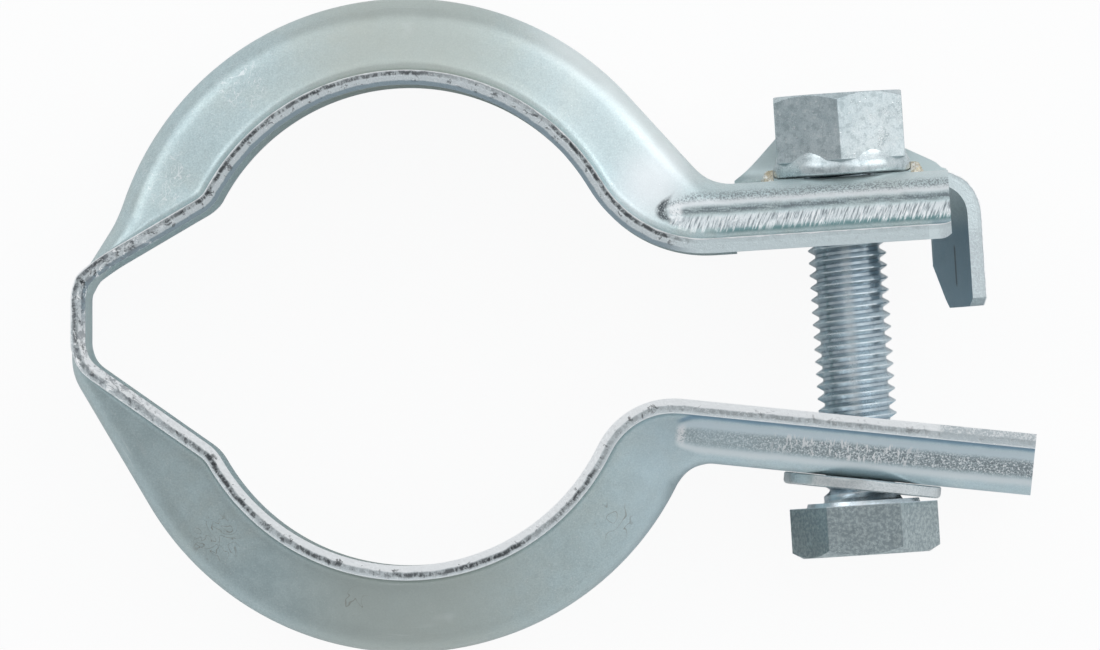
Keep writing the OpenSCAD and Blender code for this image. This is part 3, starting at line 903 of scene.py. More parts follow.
def grow_ring(bm: bmesh.types.BMesh, row: Row, places: Sequence[Sequence[float]]) -> Row:
    """Extrudes a closed ring to the next places.

    Args:
        bm: The bmesh.
        row: The last ring.
        places: Places of the new ring.

    Returns:
        The new ring.
    """
    target = iter(places)

    def move(old: bmesh.types.BMVert, fresh: bmesh.types.BMVert) -> None:
        """Puts a new vertex in its place."""
        fresh.co = next(target)

    return grow(bm, row_edges(row, True), move, row)


def closed_line(bm: bmesh.types.BMesh, places: Sequence[Point]) -> tuple[Row, list[bmesh.types.BMEdge]]:
    """Draws a closed outline of radius and height in the XZ plane.

    Args:
        bm: The bmesh.
        places: Its corners.

    Returns:
        Its vertices and its edges.
    """
    line = [bm.verts.new((r, 0.0, z)) for r, z in places]
    return line, [bm.edges.new(pair) for pair in zip(line, [*line[1:], line[0]])]


def turned(bm: bmesh.types.BMesh, places: Sequence[Point], steps: int) -> None:
    """Turns a closed outline about +Z.

    Args:
        bm: The bmesh.
        places: The outline's radii and heights.
        steps: Number of faces round the axis.
    """
    line, edges = closed_line(bm, places)
    bmesh.ops.spin(
        bm,
        geom=[*line, *edges],
        cent=(0, 0, 0),
        axis=(0, 0, 1),
        angle=math.tau,
        steps=steps,
        use_merge=True,
    )


def absorb(bm: bmesh.types.BMesh, other: bmesh.types.BMesh) -> None:
    """Adds a second bmesh to the first and frees it.

    Args:
        bm: The bmesh that grows.
        other: The bmesh that is freed.
    """
    mesh = bpy.data.meshes.new("part")
    other.to_mesh(mesh)
    other.free()
    bm.from_mesh(mesh)
    bpy.data.meshes.remove(mesh)


def arc(centre: Point, radius: float, start: float, end: float, steps: int = 24) -> list[Point]:
    """Points of an arc.

    Args:
        centre: Its centre.
        radius: Its radius.
        start: First angle in degrees.
        end: Last angle in degrees.
        steps: Number of steps.

    Returns:
        The points.
    """
    angles = [math.radians(start + (end - start) * i / steps) for i in range(steps + 1)]
    return [(centre[0] + radius * math.cos(a), centre[1] + radius * math.sin(a)) for a in angles]


class Path:
    """A line through points, read by its share of length."""

    def __init__(self, points: Sequence[Point], soften: float = 0.0) -> None:
        """Measures the line.

        Args:
            points: Its points.
            soften: Reach in millimetres over which corners are eased.
        """
        self.points = [Vector(p) for p in points]
        self._measure()
        if soften:
            count = max(8, int(self.length / 0.25))
            even = [self.at(i / count) for i in range(count + 1)]
            reach = max(1, int(soften * count / self.length))
            eased = []
            for i in range(count + 1):
                k = min(reach, i, count - i)
                near = even[i - k : i + k + 1]
                eased.append(sum(near, Vector((0.0, 0.0))) / len(near))
            self.points = eased
            self._measure()

    def _measure(self) -> None:
        """Sums the lengths of the line's steps."""
        self.runs = [0.0]
        for a, b in zip(self.points, self.points[1:]):
            self.runs.append(self.runs[-1] + (b - a).length)
        self.length = self.runs[-1]

    def at(self, share: float) -> Vector:
        """The point at a share of the length.

        Args:
            share: Share of the length.

        Returns:
            The point.
        """
        want = min(max(share, 0.0), 1.0) * self.length
        for k in range(len(self.points) - 1):
            if self.runs[k + 1] >= want - 1e-9:
                step = self.runs[k + 1] - self.runs[k]
                part = (want - self.runs[k]) / step if step > 1e-9 else 0.0
                return self.points[k].lerp(self.points[k + 1], part)
        return self.points[-1].copy()

    def slant(self, share: float, ray: Vector) -> float:
        """Factor by which a slanting section stretches the sheet.

        Args:
            share: Place on the line.
            ray: Direction of the section.

        Returns:
            The factor.
        """
        if share <= 0 or share >= 1:
            return 1.0
        step = self.at(share + 0.02) - self.at(share - 0.02)
        square = Vector((-step.y, step.x)).normalized()
        return 1.0 / max(0.7, abs(square.dot(ray)))


@dataclass(frozen=True)
class Sheet:
    """Sizes of the strap's hat section."""

    thick: float = 1.5
    width: float = 22.0
    lip: float = 1.2
    lip_bend: float = 1.2
    crown_bend: float = 1.6
    lean: float = 10.0
    bend_steps: int = 7
    wall_steps: int = 4
    crown_steps: int = 10

    @property
    def wall_a(self) -> float:
        """Angle of the walls to the crown."""
        return math.radians(90 - self.lean)

    @property
    def lip_r(self) -> float:
        """Middle radius of the lip's bend."""
        return self.lip_bend + self.thick / 2

    @property
    def crown_r(self) -> float:
        """Middle radius of the crown's bend."""
        return self.crown_bend + self.thick / 2

    @property
    def bends_h(self) -> float:
        """Height of the two bends together."""
        return (self.lip_r + self.crown_r) * (1 - math.cos(self.wall_a))

    def half(self, h: float) -> list[Point]:
        """Half of the section's middle line.

        Args:
            h: Height between the lip's and the crown's middle.

        Returns:
            Height and distance from the middle of each point, from the lip's edge to the crown's middle.
        """
        a = self.wall_a
        wall = (h - self.bends_h) / math.sin(a)
        z_lip = self.width / 2 - self.lip
        z_wall = z_lip - self.lip_r * math.sin(a)
        z_crown = z_lip - (self.lip_r + self.crown_r) * math.sin(a) - wall * math.cos(a)
        points: list[Point] = [(0.0, self.width / 2), (0.0, self.width / 2 - 0.35), (0.0, z_lip + 0.3)]
        for i in range(self.bend_steps + 1):
            t = a * i / self.bend_steps
            points.append((self.lip_r * (1 - math.cos(t)), z_lip - self.lip_r * math.sin(t)))
        low = self.lip_r * (1 - math.cos(a))
        for i in range(1, self.wall_steps):
            s = i / self.wall_steps
            points.append((low + wall * math.sin(a) * s, z_wall - wall * math.cos(a) * s))
        for i in range(self.bend_steps, -1, -1):
            t = a * i / self.bend_steps
            points.append((h - self.crown_r * (1 - math.cos(t)), z_crown + self.crown_r * math.sin(t)))
        half_steps = self.crown_steps // 2
        points += [(h, z_crown * (1 - i / half_steps)) for i in range(1, half_steps)]
        return points

    def hat(self, rise: float, thick_lip: float = 1.0, thick_crown: float = 1.0) -> list[Point]:
        """The whole section's middle line, from the near lip to the far one.

        Args:
            rise: Height from the lip's face to the crown's outside.
            thick_lip: Stretch of the sheet at the lip.
            thick_crown: Stretch of the sheet at the crown.

        Returns:
            Height over the lip's face and distance from the middle.
        """
        h = rise - (thick_lip + thick_crown) * self.thick / 2
        true = max(h, self.bends_h + 0.2)
        press = h / true
        half = [(thick_lip * self.thick / 2 + y * press, z) for y, z in self.half(true)]
        middle = [(thick_lip * self.thick / 2 + h, 0.0)]
        return half + middle + [(y, -z) for y, z in reversed(half)]

    @property
    def count(self) -> int:
        """Number of points of the section."""
        return len(self.hat(8.8))

    @property
    def crown_from(self) -> int:
        """Index of the first point of the flat crown."""
        return 3 + self.bend_steps + 1 + self.wall_steps - 1 + self.bend_steps

    @property
    def crown_to(self) -> int:
        """Index of the last point of the flat crown."""
        return self.count - 1 - self.crown_from


@dataclass(frozen=True)
class Arm:
    """Sizes of one arm in its own frame, whose origin is the seat's axis."""

    tilt: float
    lip_v: float
    rise: float
    lip_turn: float
    crown_turn: float
    ear_length: float
    starts: float
    kink: float
    leaf: float
    crown_to: float
    heel: float
    seat: float = 21.5
    seat_rise: float = 8.8
    reach: float = 32.4
    neck_bend: float = 3.0
    kink_r: float = 3.0
    thick: float = 1.5

    @property
    def crown_r(self) -> float:
        """Radius of the crown's outside."""
        return self.seat + self.seat_rise

    @property
    def crown_v(self) -> float:
        """Height of the ear's crown."""
        return self.lip_v + self.rise

    @property
    def ear_from(self) -> float:
        """Start of the straight ear."""
        return max(self._lip_centre()[0], self._crown_corner() + self._crown_tangent()) + 0.1

    @property
    def ear_to(self) -> float:
        """End of the ear."""
        return self.ear_from + self.ear_length

    @property
    def seat_to(self) -> float:
        """Angle at which the true seat ends."""
        return min(self.kink, self.crown_to)

    def _lip_centre(self) -> Point:
        """Centre of the lip's bend at the ear."""
        v = self.lip_v + self.lip_turn
        return math.sqrt((self.seat + self.lip_turn) ** 2 - v * v), v

    def _crown_corner(self) -> float:
        """Where the crown's slope meets the ear's crown."""
        a = math.radians(self.starts - self.tilt)
        return self.crown_r * math.cos(a) + (self.crown_r * math.sin(a) - self.crown_v) * math.tan(a)

    def _crown_tangent(self) -> float:
        """Length of the crown bend's tangent."""
        return self.crown_turn * math.tan(math.radians((90 - self.starts + self.tilt) / 2))

    def ear_lines(self) -> tuple[Path, Path]:
        """The guide lines from the seat to the ear.

        Returns:
            The lip line and the crown line, in the ear's frame.
        """
        c = self._lip_centre()
        a = math.degrees(math.atan2(c[1], c[0]))
        lip = arc((0, 0), self.seat, self.starts - self.tilt, a, 8)
        lip += arc(c, self.lip_turn, 180 + a, 270)[1:] + [(self.ear_from, self.lip_v)]
        b = self.starts - self.tilt
        centre = (self._crown_corner() + self._crown_tangent(), self.crown_v + self.crown_turn)
        start = (self.crown_r * math.cos(math.radians(b)), self.crown_r * math.sin(math.radians(b)))
        crown = [start] + arc(centre, self.crown_turn, 180 + b, 270) + [(self.ear_from, self.crown_v)]
        return Path(lip, 0.8), Path(crown, 1.2)

    def neck_lines(self) -> tuple[Path, Path]:
        """The guide lines from the seat to the neck.

        Returns:
            The lip line and the crown line, in the arm's frame.
        """
        s = math.radians(self.leaf)
        normal = Vector((-math.sin(s), math.cos(s)))
        k = math.radians(self.kink)
        kink = (self.seat + self.kink_r) * Vector((math.cos(k), math.sin(k)))
        start = kink - self.kink_r * normal
        corner = Vector((-self.reach, start.y - (start.x + self.reach) * math.tan(s)))
        end = corner + self.neck_bend * math.tan((math.pi / 2 - s) / 2) * Vector((math.cos(s), math.sin(s)))
        centre = end - self.neck_bend * normal
        lip = arc((0, 0), self.seat, self.seat_to, self.kink, 4) if self.seat_to < self.kink else []
        lip += arc(tuple(kink), self.kink_r, 180 + self.kink, 270 + self.leaf, 8)
        lip += arc(tuple(centre), self.neck_bend, 90 + self.leaf, 180, 16)
        if self.seat_to < self.crown_to:
            crown = arc((0, 0), self.crown_r, self.seat_to, self.crown_to)
        else:
            t = math.radians(self.seat_to)
            crown = [(self.crown_r * math.cos(t), self.crown_r * math.sin(t))]
        out = -self.reach - self.thick
        crown += [(out, centre.y + self.heel), (out, centre.y)]
        return Path(lip, 0.9), Path(crown, 1.6)


@dataclass
class Strap:
    """The one-piece pressed strap."""

    upper: Arm = Arm(
        tilt=UPPER_TILT,
        lip_v=2.45,
        rise=6.95,
        lip_turn=13.5,
        crown_turn=4.4,
        ear_length=21.9,
        starts=42.5,
        kink=152.5,
        leaf=30.5,
        crown_to=164.6,
        heel=0.7,
    )
    lower: Arm = Arm(
        tilt=LOWER_TILT,
        lip_v=1.85,
        rise=6.2,
        lip_turn=8.5,
        crown_turn=3.5,
        ear_length=32.3,
        starts=27.0,
        kink=151.0,
        leaf=35.0,
        crown_to=149.0,
        heel=3.2,
    )
    sheet: Sheet = Sheet()
    hole_r: float = 4.5
    slot_half: float = 1.5
    bolt_in: float = 11.2
    lower_slot_u: float = 46.91
    web: float = 6.506
    tab_back: float = 1.15
    tab_skew: float = 18.0
    tab_bend: float = 3.0
    tab_reach: float = 6.95
    tab_corner: float = 4.4
    tab_edge: float = 0.8
    lip_corner: float = 2.3
    guard_bend: float = 1.5
    guard_gap: float = 0.2
    guard_short: float = 0.1
    guard_end: float = 0.5
    guard_peak: float = 5.0
    guard_rise: float = 45.0
    guard_fall: float = 28.0
    loft_steps: int = 48
    lower_steps: int = 34
    neck_steps: int = 6
    measured_row: int = 200
    web_steps: int = 26
    web_run: float = 20.7
    guard_rows: int = 14
    guard_row_run: float = 0.7
    free_steps: int = 10
    tab_bend_steps: int = 10
    tab_flat_steps: int = 9
    tab_row_run: float = 0.7
    edge_bevel: float = 0.14

    def place(self, side: Side, p: Vector, tilt: float = 0.0) -> Vector:
        """A point of an arm's or an ear's frame, in the row frame.

        Args:
            side: The arm.
            p: The point.
            tilt: The ear's tilt in degrees, nothing for a point of the arm.

        Returns:
            The point in the row frame.
        """
        t = math.radians(tilt)
        x, y = p.x * math.cos(t) - p.y * math.sin(t), p.x * math.sin(t) + p.y * math.cos(t)
        return Vector((x, y)) if side is Side.UPPER else Vector((x, -SEAT_DROP - y))

    def section(
        self, side: Side, lip: Vector, crown: Vector, stretch: Point = (1.0, 1.0), tilt: float = 0.0
    ) -> list[Vector]:
        """The section strung between a lip point and a crown point.

        Args:
            side: The arm.
            lip: Point on the lip's face.
            crown: Point on the crown's outside.
            stretch: Stretch of the sheet at the lip and at the crown.
            tilt: The ear's tilt, for points in its frame.

        Returns:
            The section's points in the row frame.
        """
        ray = (crown - lip).normalized()
        out = []
        for y, z in self.sheet.hat((crown - lip).length, *stretch):
            p = self.place(side, lip + ray * y, tilt)
            out.append(Vector((p.x, p.y, z)))
        return out

    def ear_rows(self, side: Side, arm: Arm) -> list[list[Vector]]:
        """Lofts the stretch from the ear's start to the seat.

        Args:
            side: The side that the arm is on.
            arm: The arm.

        Returns:
            The sections.
        """
        lip, crown = arm.ear_lines()
        out = []
        for i in range(self.loft_steps, 0, -1):
            s = i / self.loft_steps
            p, q = lip.at(s), crown.at(s)
            ray = (q - p).normalized()
            out.append(self.section(side, p, q, (lip.slant(s, ray), crown.slant(s, ray)), arm.tilt))
        return out

    def seat_rows(self, side: Side, arm: Arm) -> list[list[Vector]]:
        """Bends the seat, from the ear's side to the neck's.

        Args:
            side: The side that the arm is on.
            arm: The arm.

        Returns:
            The sections.
        """
        steps = int((arm.seat_to - arm.starts) / 1.4)
        out = []
        for i in range(steps + 1):
            a = math.radians(arm.starts + (arm.seat_to - arm.starts) * i / steps)
            unit = Vector((math.cos(a), math.sin(a)))
            out.append(self.section(side, unit * arm.seat, unit * arm.crown_r))
        return out

    def neck_rows(self, side: Side, arm: Arm) -> list[list[Vector]]:
        """Lofts the stretch from the seat to the flat neck.

        Args:
            side: The side that the arm is on.
            arm: The arm.

        Returns:
            The sections.
        """
        lip, crown = arm.neck_lines()
        out = []
        for i in range(1, self.loft_steps + 1):
            s = i / self.loft_steps
            p, q = lip.at(s), crown.at(s)
            ray = (q - p).normalized()
            out.append(self.section(side, p, q, (lip.slant(s, ray), crown.slant(s, ray))))
        return out

    def all_rows(self) -> list[list[Vector]]:
        """Lays the sections of the whole strap in order.

        Returns:
            The sections, from the lower ear's end to the upper ear's start.
        """
        low, up = self.lower, self.upper
        rows = []
        for i in range(self.lower_steps + 1):
            u = low.ear_to + (low.ear_from - low.ear_to) * i / self.lower_steps
            lip, crown = Vector((u, low.lip_v)), Vector((u, low.crown_v))
            rows.append(self.section(Side.LOWER, lip, crown, tilt=low.tilt))
        rows += self.ear_rows(Side.LOWER, low)[1:]
        rows += self.seat_rows(Side.LOWER, low)
        lower_neck = self.neck_rows(Side.LOWER, low)
        upper_neck = self.neck_rows(Side.UPPER, up)
        rows += lower_neck
        for i in range(1, self.neck_steps):
            share = i / self.neck_steps
            rows.append([a.lerp(b, share) for a, b in zip(lower_neck[-1], upper_neck[-1])])
        rows += reversed(upper_neck)
        rows += reversed(self.seat_rows(Side.UPPER, up))
        rows += reversed(self.ear_rows(Side.UPPER, up))
        return rows

    def ear_point(self, u: float, v: float, z: float) -> Vector:
        """A point of the upper ear's frame in the row frame."""
        p = self.place(Side.UPPER, Vector((u, v)), self.upper.tilt)
        return Vector((p.x, p.y, z))

    def fold_u(self, z: float) -> float:
        """Where the web ends at the tab's fold, for a distance from the middle."""
        near = self.crown_half
        return self.upper.ear_to - self.tab_back - (near - z) * math.tan(math.radians(self.tab_skew))

    @property
    def crown_half(self) -> float:
        """Half width of the upper ear's flat crown."""
        return self.sheet.hat(self.upper.rise)[self.sheet.crown_from][1]

    def guard_top(self, u: float) -> float:
        """Height of the guard's outline over the web.

        Args:
            u: Place along the ear.

        Returns:
            The height.
        """
        start = self.upper.ear_from + self.guard_gap
        span = self.upper.ear_to - self.guard_short - start
        rise, fall = math.tan(math.radians(self.guard_rise)), math.tan(math.radians(self.guard_fall))
        run = (self.guard_end + span * fall) / (rise + fall)
        x = u - start
        blend = self.guard_peak * 0.22
        left, right = x * rise, run * rise - (x - run) * fall
        low = min(left, right) - max(0.0, x - span + 1.3) ** 2 * 0.45
        gap = abs(left - right)
        return max(0.05, low - max(0.0, blend - gap) ** 2 / (4 * blend))

    def wrap(self, bm: bmesh.types.BMesh) -> None:
        """Builds the sheet's middle surface.

        Args:
            bm: The bmesh to build in.
        """
        rows = self.all_rows()
        layer = bm.verts.layers.float_vector.new("strip")
        across = [0.0]
        for a, b in zip(rows[self.measured_row], rows[self.measured_row][1:]):
            across.append(across[-1] + (b - a).length)
        across = [across[-1] / 2 - x for x in across]
        row = [bm.verts.new(p) for p in rows[0]]
        for a, b in zip(row, row[1:]):
            bm.edges.new((a, b))
        for v, x in zip(row, across):
            v[layer] = Vector((0.0, x, 0.0))
        grid = [row]
        run = 0.0
        middle = len(row) // 2
        for points in rows[1:]:
            run += (points[0] - grid[-1][0].co).length / 2 + (points[middle] - grid[-1][middle].co).length / 2
            grid.append(self.next_row(bm, grid[-1], points, layer, run))
        self.punch(bm, grid, self.lower_slot_u)
        self.upper_ear(bm, grid[-1], layer, run)

    def next_row(
        self, bm: bmesh.types.BMesh, row: Row, points: Sequence[Vector], layer: object, run: float
    ) -> Row:
        """Extrudes a row to the next points.

        Args:
            bm: The bmesh.
            row: The last row.
            points: Places of the new row.
            layer: The layer of the strap's own coordinates.
            run: Length along the strap up to the new row.

        Returns:
            The new row.
        """
        target = iter(points)

        def move(old: bmesh.types.BMVert, fresh: bmesh.types.BMVert) -> None:
            """Puts a new vertex in its place."""
            fresh.co = next(target)
            fresh[layer] = Vector((run, old[layer].y, 0.0))

        return grow(bm, row_edges(row), move, row)

    def ring_out(
        self,
        bm: bmesh.types.BMesh,
        faces: list[bmesh.types.BMFace],
        centre: Vector,
        along: Vector,
        half: float,
    ) -> None:
        """Opens a slot in a patch of faces.

        Args:
            bm: The bmesh.
            faces: The faces of the patch.
            centre: The slot's centre.
            along: Unit vector along the slot.
            half: Half of the slot's straight length.
        """
        inside = set(faces)
        border = [e for f in faces for e in f.edges if sum(g in inside for g in e.link_faces) == 1]
        bmesh.ops.delete(bm, geom=faces, context="FACES")
        border = [e for e in border if e.is_valid]
        made = bmesh.ops.extrude_edge_only(bm, edges=border)["geom"]
        for v in (g for g in made if isinstance(g, bmesh.types.BMVert)):
            d = v.co - centre
            u, z = d.dot(along), d.z
            a = math.atan2(z, u)
            x, y = self.hole_r * math.cos(a), self.hole_r * math.sin(a)
            if half:
                shift = half * max(-1.0, min(1.0, u / (half + 1.0)))
                a = math.atan2(z, u - shift)
                x, y = shift + self.hole_r * math.cos(a), self.hole_r * math.sin(a)
            v.co = centre + along * x + Vector((0.0, 0.0, y))

    def punch(self, bm: bmesh.types.BMesh, grid: list[Row], u: float) -> None:
        """Opens the slot in the lower ear.

        Args:
            bm: The bmesh.
            grid: Rows of the strap.
            u: Place of the slot along the ear.
        """
        arm = self.lower
        middle = len(grid[0]) // 2
        centre = self.place(Side.LOWER, Vector((u, arm.crown_v - self.sheet.thick / 2)), arm.tilt)
        t = math.radians(-arm.tilt)
        along = Vector((math.cos(t), math.sin(t), 0.0))
        spot = Vector((centre.x, centre.y, 0.0))
        reach = self.hole_r + self.slot_half + 0.9
        keep = [i for i in range(self.lower_steps + 1) if abs((grid[i][middle].co - spot).dot(along)) < reach]
        self.ring_out(bm, self.crown_faces(grid, keep), spot, along, self.slot_half)

    def crown_faces(self, grid: list[Row], keep: Sequence[int]) -> list[bmesh.types.BMFace]:
        """Faces of the flat crown between some rows.

        Args:
            grid: Rows of the strap.
            keep: The rows' indices.

        Returns:
            The faces.
        """
        faces = []
        for i in keep[:-1]:
            for j in range(self.sheet.crown_from, self.sheet.crown_to):
                corner = {grid[i][j], grid[i + 1][j + 1]}
                faces += [f for f in grid[i][j].link_faces if corner <= set(f.verts)]
        return faces

    def upper_ear(self, bm: bmesh.types.BMesh, row: Row, layer: object, run: float) -> None:
        """Builds the upper ear: wall, web, guard and tab.

        Args:
            bm: The bmesh.
            row: The last full row, at the ear's start.
            layer: The layer of the strap's own coordinates.
            run: Length along the strap up to that row.
        """
        arm, sheet = self.upper, self.sheet
        near, far = sheet.crown_from, sheet.crown_to
        hat = sheet.hat(arm.rise)
        steps = self.web_steps
        ends = [arm.ear_to - max(0.0, z - (sheet.width / 2 - self.lip_corner)) for _, z in hat[: near + 1]]
        stops = [min(self.fold_u(self.crown_half), end - 0.5) for end in ends]
        stops += [self.fold_u(z) for _, z in hat[near + 1 : far + 1]]
        grid = [row[: far + 1]]
        for k in range(1, steps + 1):
            places = [
                self.ear_point(arm.ear_from + (stop - arm.ear_from) * k / steps, arm.lip_v + y, z)
                for stop, (y, z) in zip(stops, hat)
            ]
            grid.append(self.next_row(bm, grid[-1], places, layer, run + self.web_run * k / steps))
        # the wall and the lip run on past the tab's fold
        wall = grid[-1][: near + 1]
        for k in (1, 2):
            places = [
                self.ear_point(stop + (end - stop) * k / 2, arm.lip_v + y, z)
                for stop, end, (y, z) in zip(stops, ends, hat)
            ]
            wall = self.next_row(bm, wall, places, layer, run + self.web_run + 0.6 * k)
        centre = self.ear_point(arm.ear_from + self.bolt_in, arm.crown_v - sheet.thick / 2, 0.0)
        t = math.radians(arm.tilt)
        along = Vector((math.cos(t), math.sin(t), 0.0))
        middle = len(hat) // 2
        reach = self.hole_r + 0.9
        keep = [k for k in range(steps + 1) if abs((grid[k][middle].co - centre).dot(along)) < reach]
        faces = self.crown_faces(grid, keep)
        edge = self.web_edge(bm, [r[far] for r in grid], layer)
        self.guard(bm, edge, layer)
        self.tab(bm, grid[-1][near : far + 1] + [edge[-1]], layer)
        self.ring_out(bm, faces, centre, along, 0.0)

    def web_edge(self, bm: bmesh.types.BMesh, edge: Row, layer: object) -> Row:
        """Widens the web to the guard's bend.

        Args:
            bm: The bmesh.
            edge: The vertices along the crown's far side.
            layer: The layer of the strap's own coordinates.

        Returns:
            The vertices along the web's far side.
        """
        arm = self.upper
        v = arm.crown_v - self.sheet.thick / 2
        start = arm.ear_from + self.guard_gap
        steps = len(edge) - 1
        count = iter(range(steps + 1))

        def move(old: bmesh.types.BMVert, fresh: bmesh.types.BMVert) -> None:
            """Puts a new vertex on the web's far side.

            Args:
                old: The vertex that was extruded.
                fresh: The new vertex.
            """
            k = next(count)
            fresh.co = self.ear_point(start + (self.fold_u(-self.web) - start) * k / steps, v, -self.web)
            fresh[layer] = Vector((old[layer].x, -self.web, 0.0))

        return grow(bm, row_edges(edge), move, edge)

    def guard_point(self, u: float, s: float) -> Vector:
        """A point of the guard.

        Args:
            u: Place along the ear.
            s: Length over the bend and the plate, from the web.

        Returns:
            The point in the row frame.
        """
        r = self.guard_bend + self.sheet.thick / 2
        v0 = self.upper.crown_v - self.sheet.thick / 2
        quarter = r * math.pi / 2
        if s <= quarter:
            a = s / r
            return self.ear_point(u, v0 + r * (1 - math.cos(a)), -self.web - r * math.sin(a))
        return self.ear_point(u, v0 + r + s - quarter, -self.web - r)

    def guard_run(self, u: float) -> float:
        """Length of the guard from the web to its outline.

        Args:
            u: Place along the ear.

        Returns:
            The length over the bend and the plate.
        """
        r = self.guard_bend + self.sheet.thick / 2
        top = self.guard_top(u) + self.sheet.thick / 2
        if top < r:
            return r * math.acos(1 - top / r)
        return r * math.pi / 2 + top - r

    def guard(self, bm: bmesh.types.BMesh, edge: Row, layer: object) -> None:
        """Turns the guard up behind the nut.

        Args:
            bm: The bmesh.
            edge: The vertices along the web's far side.
            layer: The layer of the strap's own coordinates.
        """
        arm = self.upper
        start, free = arm.ear_from + self.guard_gap, self.fold_u(-self.web) - self.guard_gap
        steps, rows = len(edge) - 1, self.guard_rows
        places = [start + (free - start) * k / steps for k in range(steps + 1)]
        row = edge
        side = [edge[-1]]
        for i in range(1, rows + 1):
            old, row = row, grow(bm, row_edges(row), stay, row)
            for under, fresh, u in zip(old, row, places):
                fresh.co = self.guard_point(u, self.guard_run(u) * i / rows)
                fresh[layer] = Vector((under[layer].x, -self.web - i * self.guard_row_run, 0.0))
            side.append(row[-1])
        # past the tab's fold the guard is free, and its plate reaches down to the web's face
        r = self.guard_bend + self.sheet.thick / 2
        quarter = r * math.pi / 2
        run = self.guard_run(free)
        first = min(i for i in range(rows + 1) if run * i / rows >= quarter)
        foot = quarter - r + self.sheet.thick / 2
        low = [foot, (foot + run * first / rows) / 2]
        column = [bm.verts.new(self.guard_plate(free, s - quarter)) for s in low]
        for v in column:
            v[layer] = side[first][layer].copy()
        column.append(side[first])
        for a, b in zip(column, column[1:]):
            bm.edges.new((a, b))
        column += side[first + 1 :]
        heights = [v - quarter for v in low] + [run * i / rows - quarter for i in range(first, rows + 1)]
        for k in range(1, self.free_steps + 1):
            u = free + (arm.ear_to - self.guard_short - free) * k / self.free_steps
            top = max(self.guard_top(u) - self.guard_bend, heights[0] + 0.3)
            part = (top - heights[0]) / (heights[-1] - heights[0])
            old, column = column, grow(bm, row_edges(column), stay, column)
            for under, fresh, h in zip(old, column, heights):
                fresh.co = self.guard_plate(u, heights[0] + (h - heights[0]) * part)
                fresh[layer] = under[layer].copy()

    def guard_plate(self, u: float, rise: float) -> Vector:
        """A point of the guard's flat plate, by its height over the end of the bend."""
        r = self.guard_bend + self.sheet.thick / 2
        return self.ear_point(u, self.upper.crown_v - self.sheet.thick / 2 + r + rise, -self.web - r)

    def tab(self, bm: bmesh.types.BMesh, row: Row, layer: object) -> None:
        """Turns the web's end down over the ear's mouth.

        Args:
            bm: The bmesh.
            row: The vertices along the fold, from the near wall to the web's far side.
            layer: The layer of the strap's own coordinates.
        """
        arm, thick = self.upper, self.sheet.thick
        a = math.radians(self.tab_skew)
        r = self.tab_bend + thick / 2
        v0 = arm.crown_v - thick / 2
        low = arm.lip_v - self.tab_reach
        near = self.crown_half
        wide = (near + self.web) / math.cos(a)
        depths = [(near - v.co.z) / math.cos(a) for v in row]
        fold = arm.ear_to - self.tab_back
        quarter = math.pi / 2
        bends = [quarter * i / self.tab_bend_steps for i in range(1, self.tab_bend_steps + 1)]
        places = [(r * math.sin(b), v0 - r * (1 - math.cos(b)), 0.0) for b in bends]
        places += [(r, v0 - r, i / self.tab_flat_steps) for i in range(1, self.tab_flat_steps + 1)]
        for x, y, share in places:
            old, row = row, grow(bm, row_edges(row), stay, row)
            for under, fresh, w in zip(old, row, depths):
                foot = low + max(0.0, w - (wide - self.tab_corner), self.tab_edge - w)
                u = fold + x * math.cos(a) - w * math.sin(a)
                z = near - x * math.sin(a) - w * math.cos(a)
                fresh.co = self.ear_point(u, y + (foot - y) * share, z)
                fresh[layer] = under[layer] + Vector((self.tab_row_run, 0.0, 0.0))

    def thicken(self, mesh: bpy.types.Mesh, materials: Sequence[bpy.types.Material]) -> bpy.types.Mesh:
        """Gives the middle surface its thickness and marks the depth in the sheet.

        Args:
            mesh: The middle surface.
            materials: Materials of the faces and of the cut edge.

        Returns:
            The solid mesh.
        """
        count = len(mesh.vertices)
        for material in materials:
            mesh.materials.append(material)
        holder = bpy.data.objects.new("strap sheet", mesh)
        bpy.context.scene.collection.objects.link(holder)
        solid = holder.modifiers.new("sheet", "SOLIDIFY")
        solid.thickness = self.sheet.thick * MM
        solid.offset = 0.0
        solid.use_even_offset = True
        solid.use_rim = True
        solid.material_offset_rim = 1
        shape = holder.evaluated_get(bpy.context.evaluated_depsgraph_get())
        out = bpy.data.meshes.new_from_object(shape)
        out.name = "clamp_strap"
        strip = out.attributes["strip"].data
        for i in range(len(out.vertices)):
            x, y, _ = strip[i].vector
            strip[i].vector = (x, y, 1.0 if i < count else -1.0)
        bpy.data.objects.remove(holder)
        bpy.data.meshes.remove(mesh)
        return out

    def build(self) -> bpy.types.Object:
        """Builds and dresses the strap.

        Returns:
            The object.
        """
        bm = bmesh.new()
        self.wrap(bm)
        bmesh.ops.recalc_face_normals(bm, faces=bm.faces)
        face = StrapFace("strap zinc", (0.62, 0.74, 0.755), (0.47, 0.60, 0.63), (0.62, 0.69, 0.66))
        edge = ShearedEdge("strap cut edge")
        mesh = self.thicken(as_mesh(bm, "strap_middle"), [face.material(), edge.material()])
        piece = as_piece(mesh, [], "strap", 40.0)
        bevelled(piece, self.edge_bevel, 50.0)
        return piece


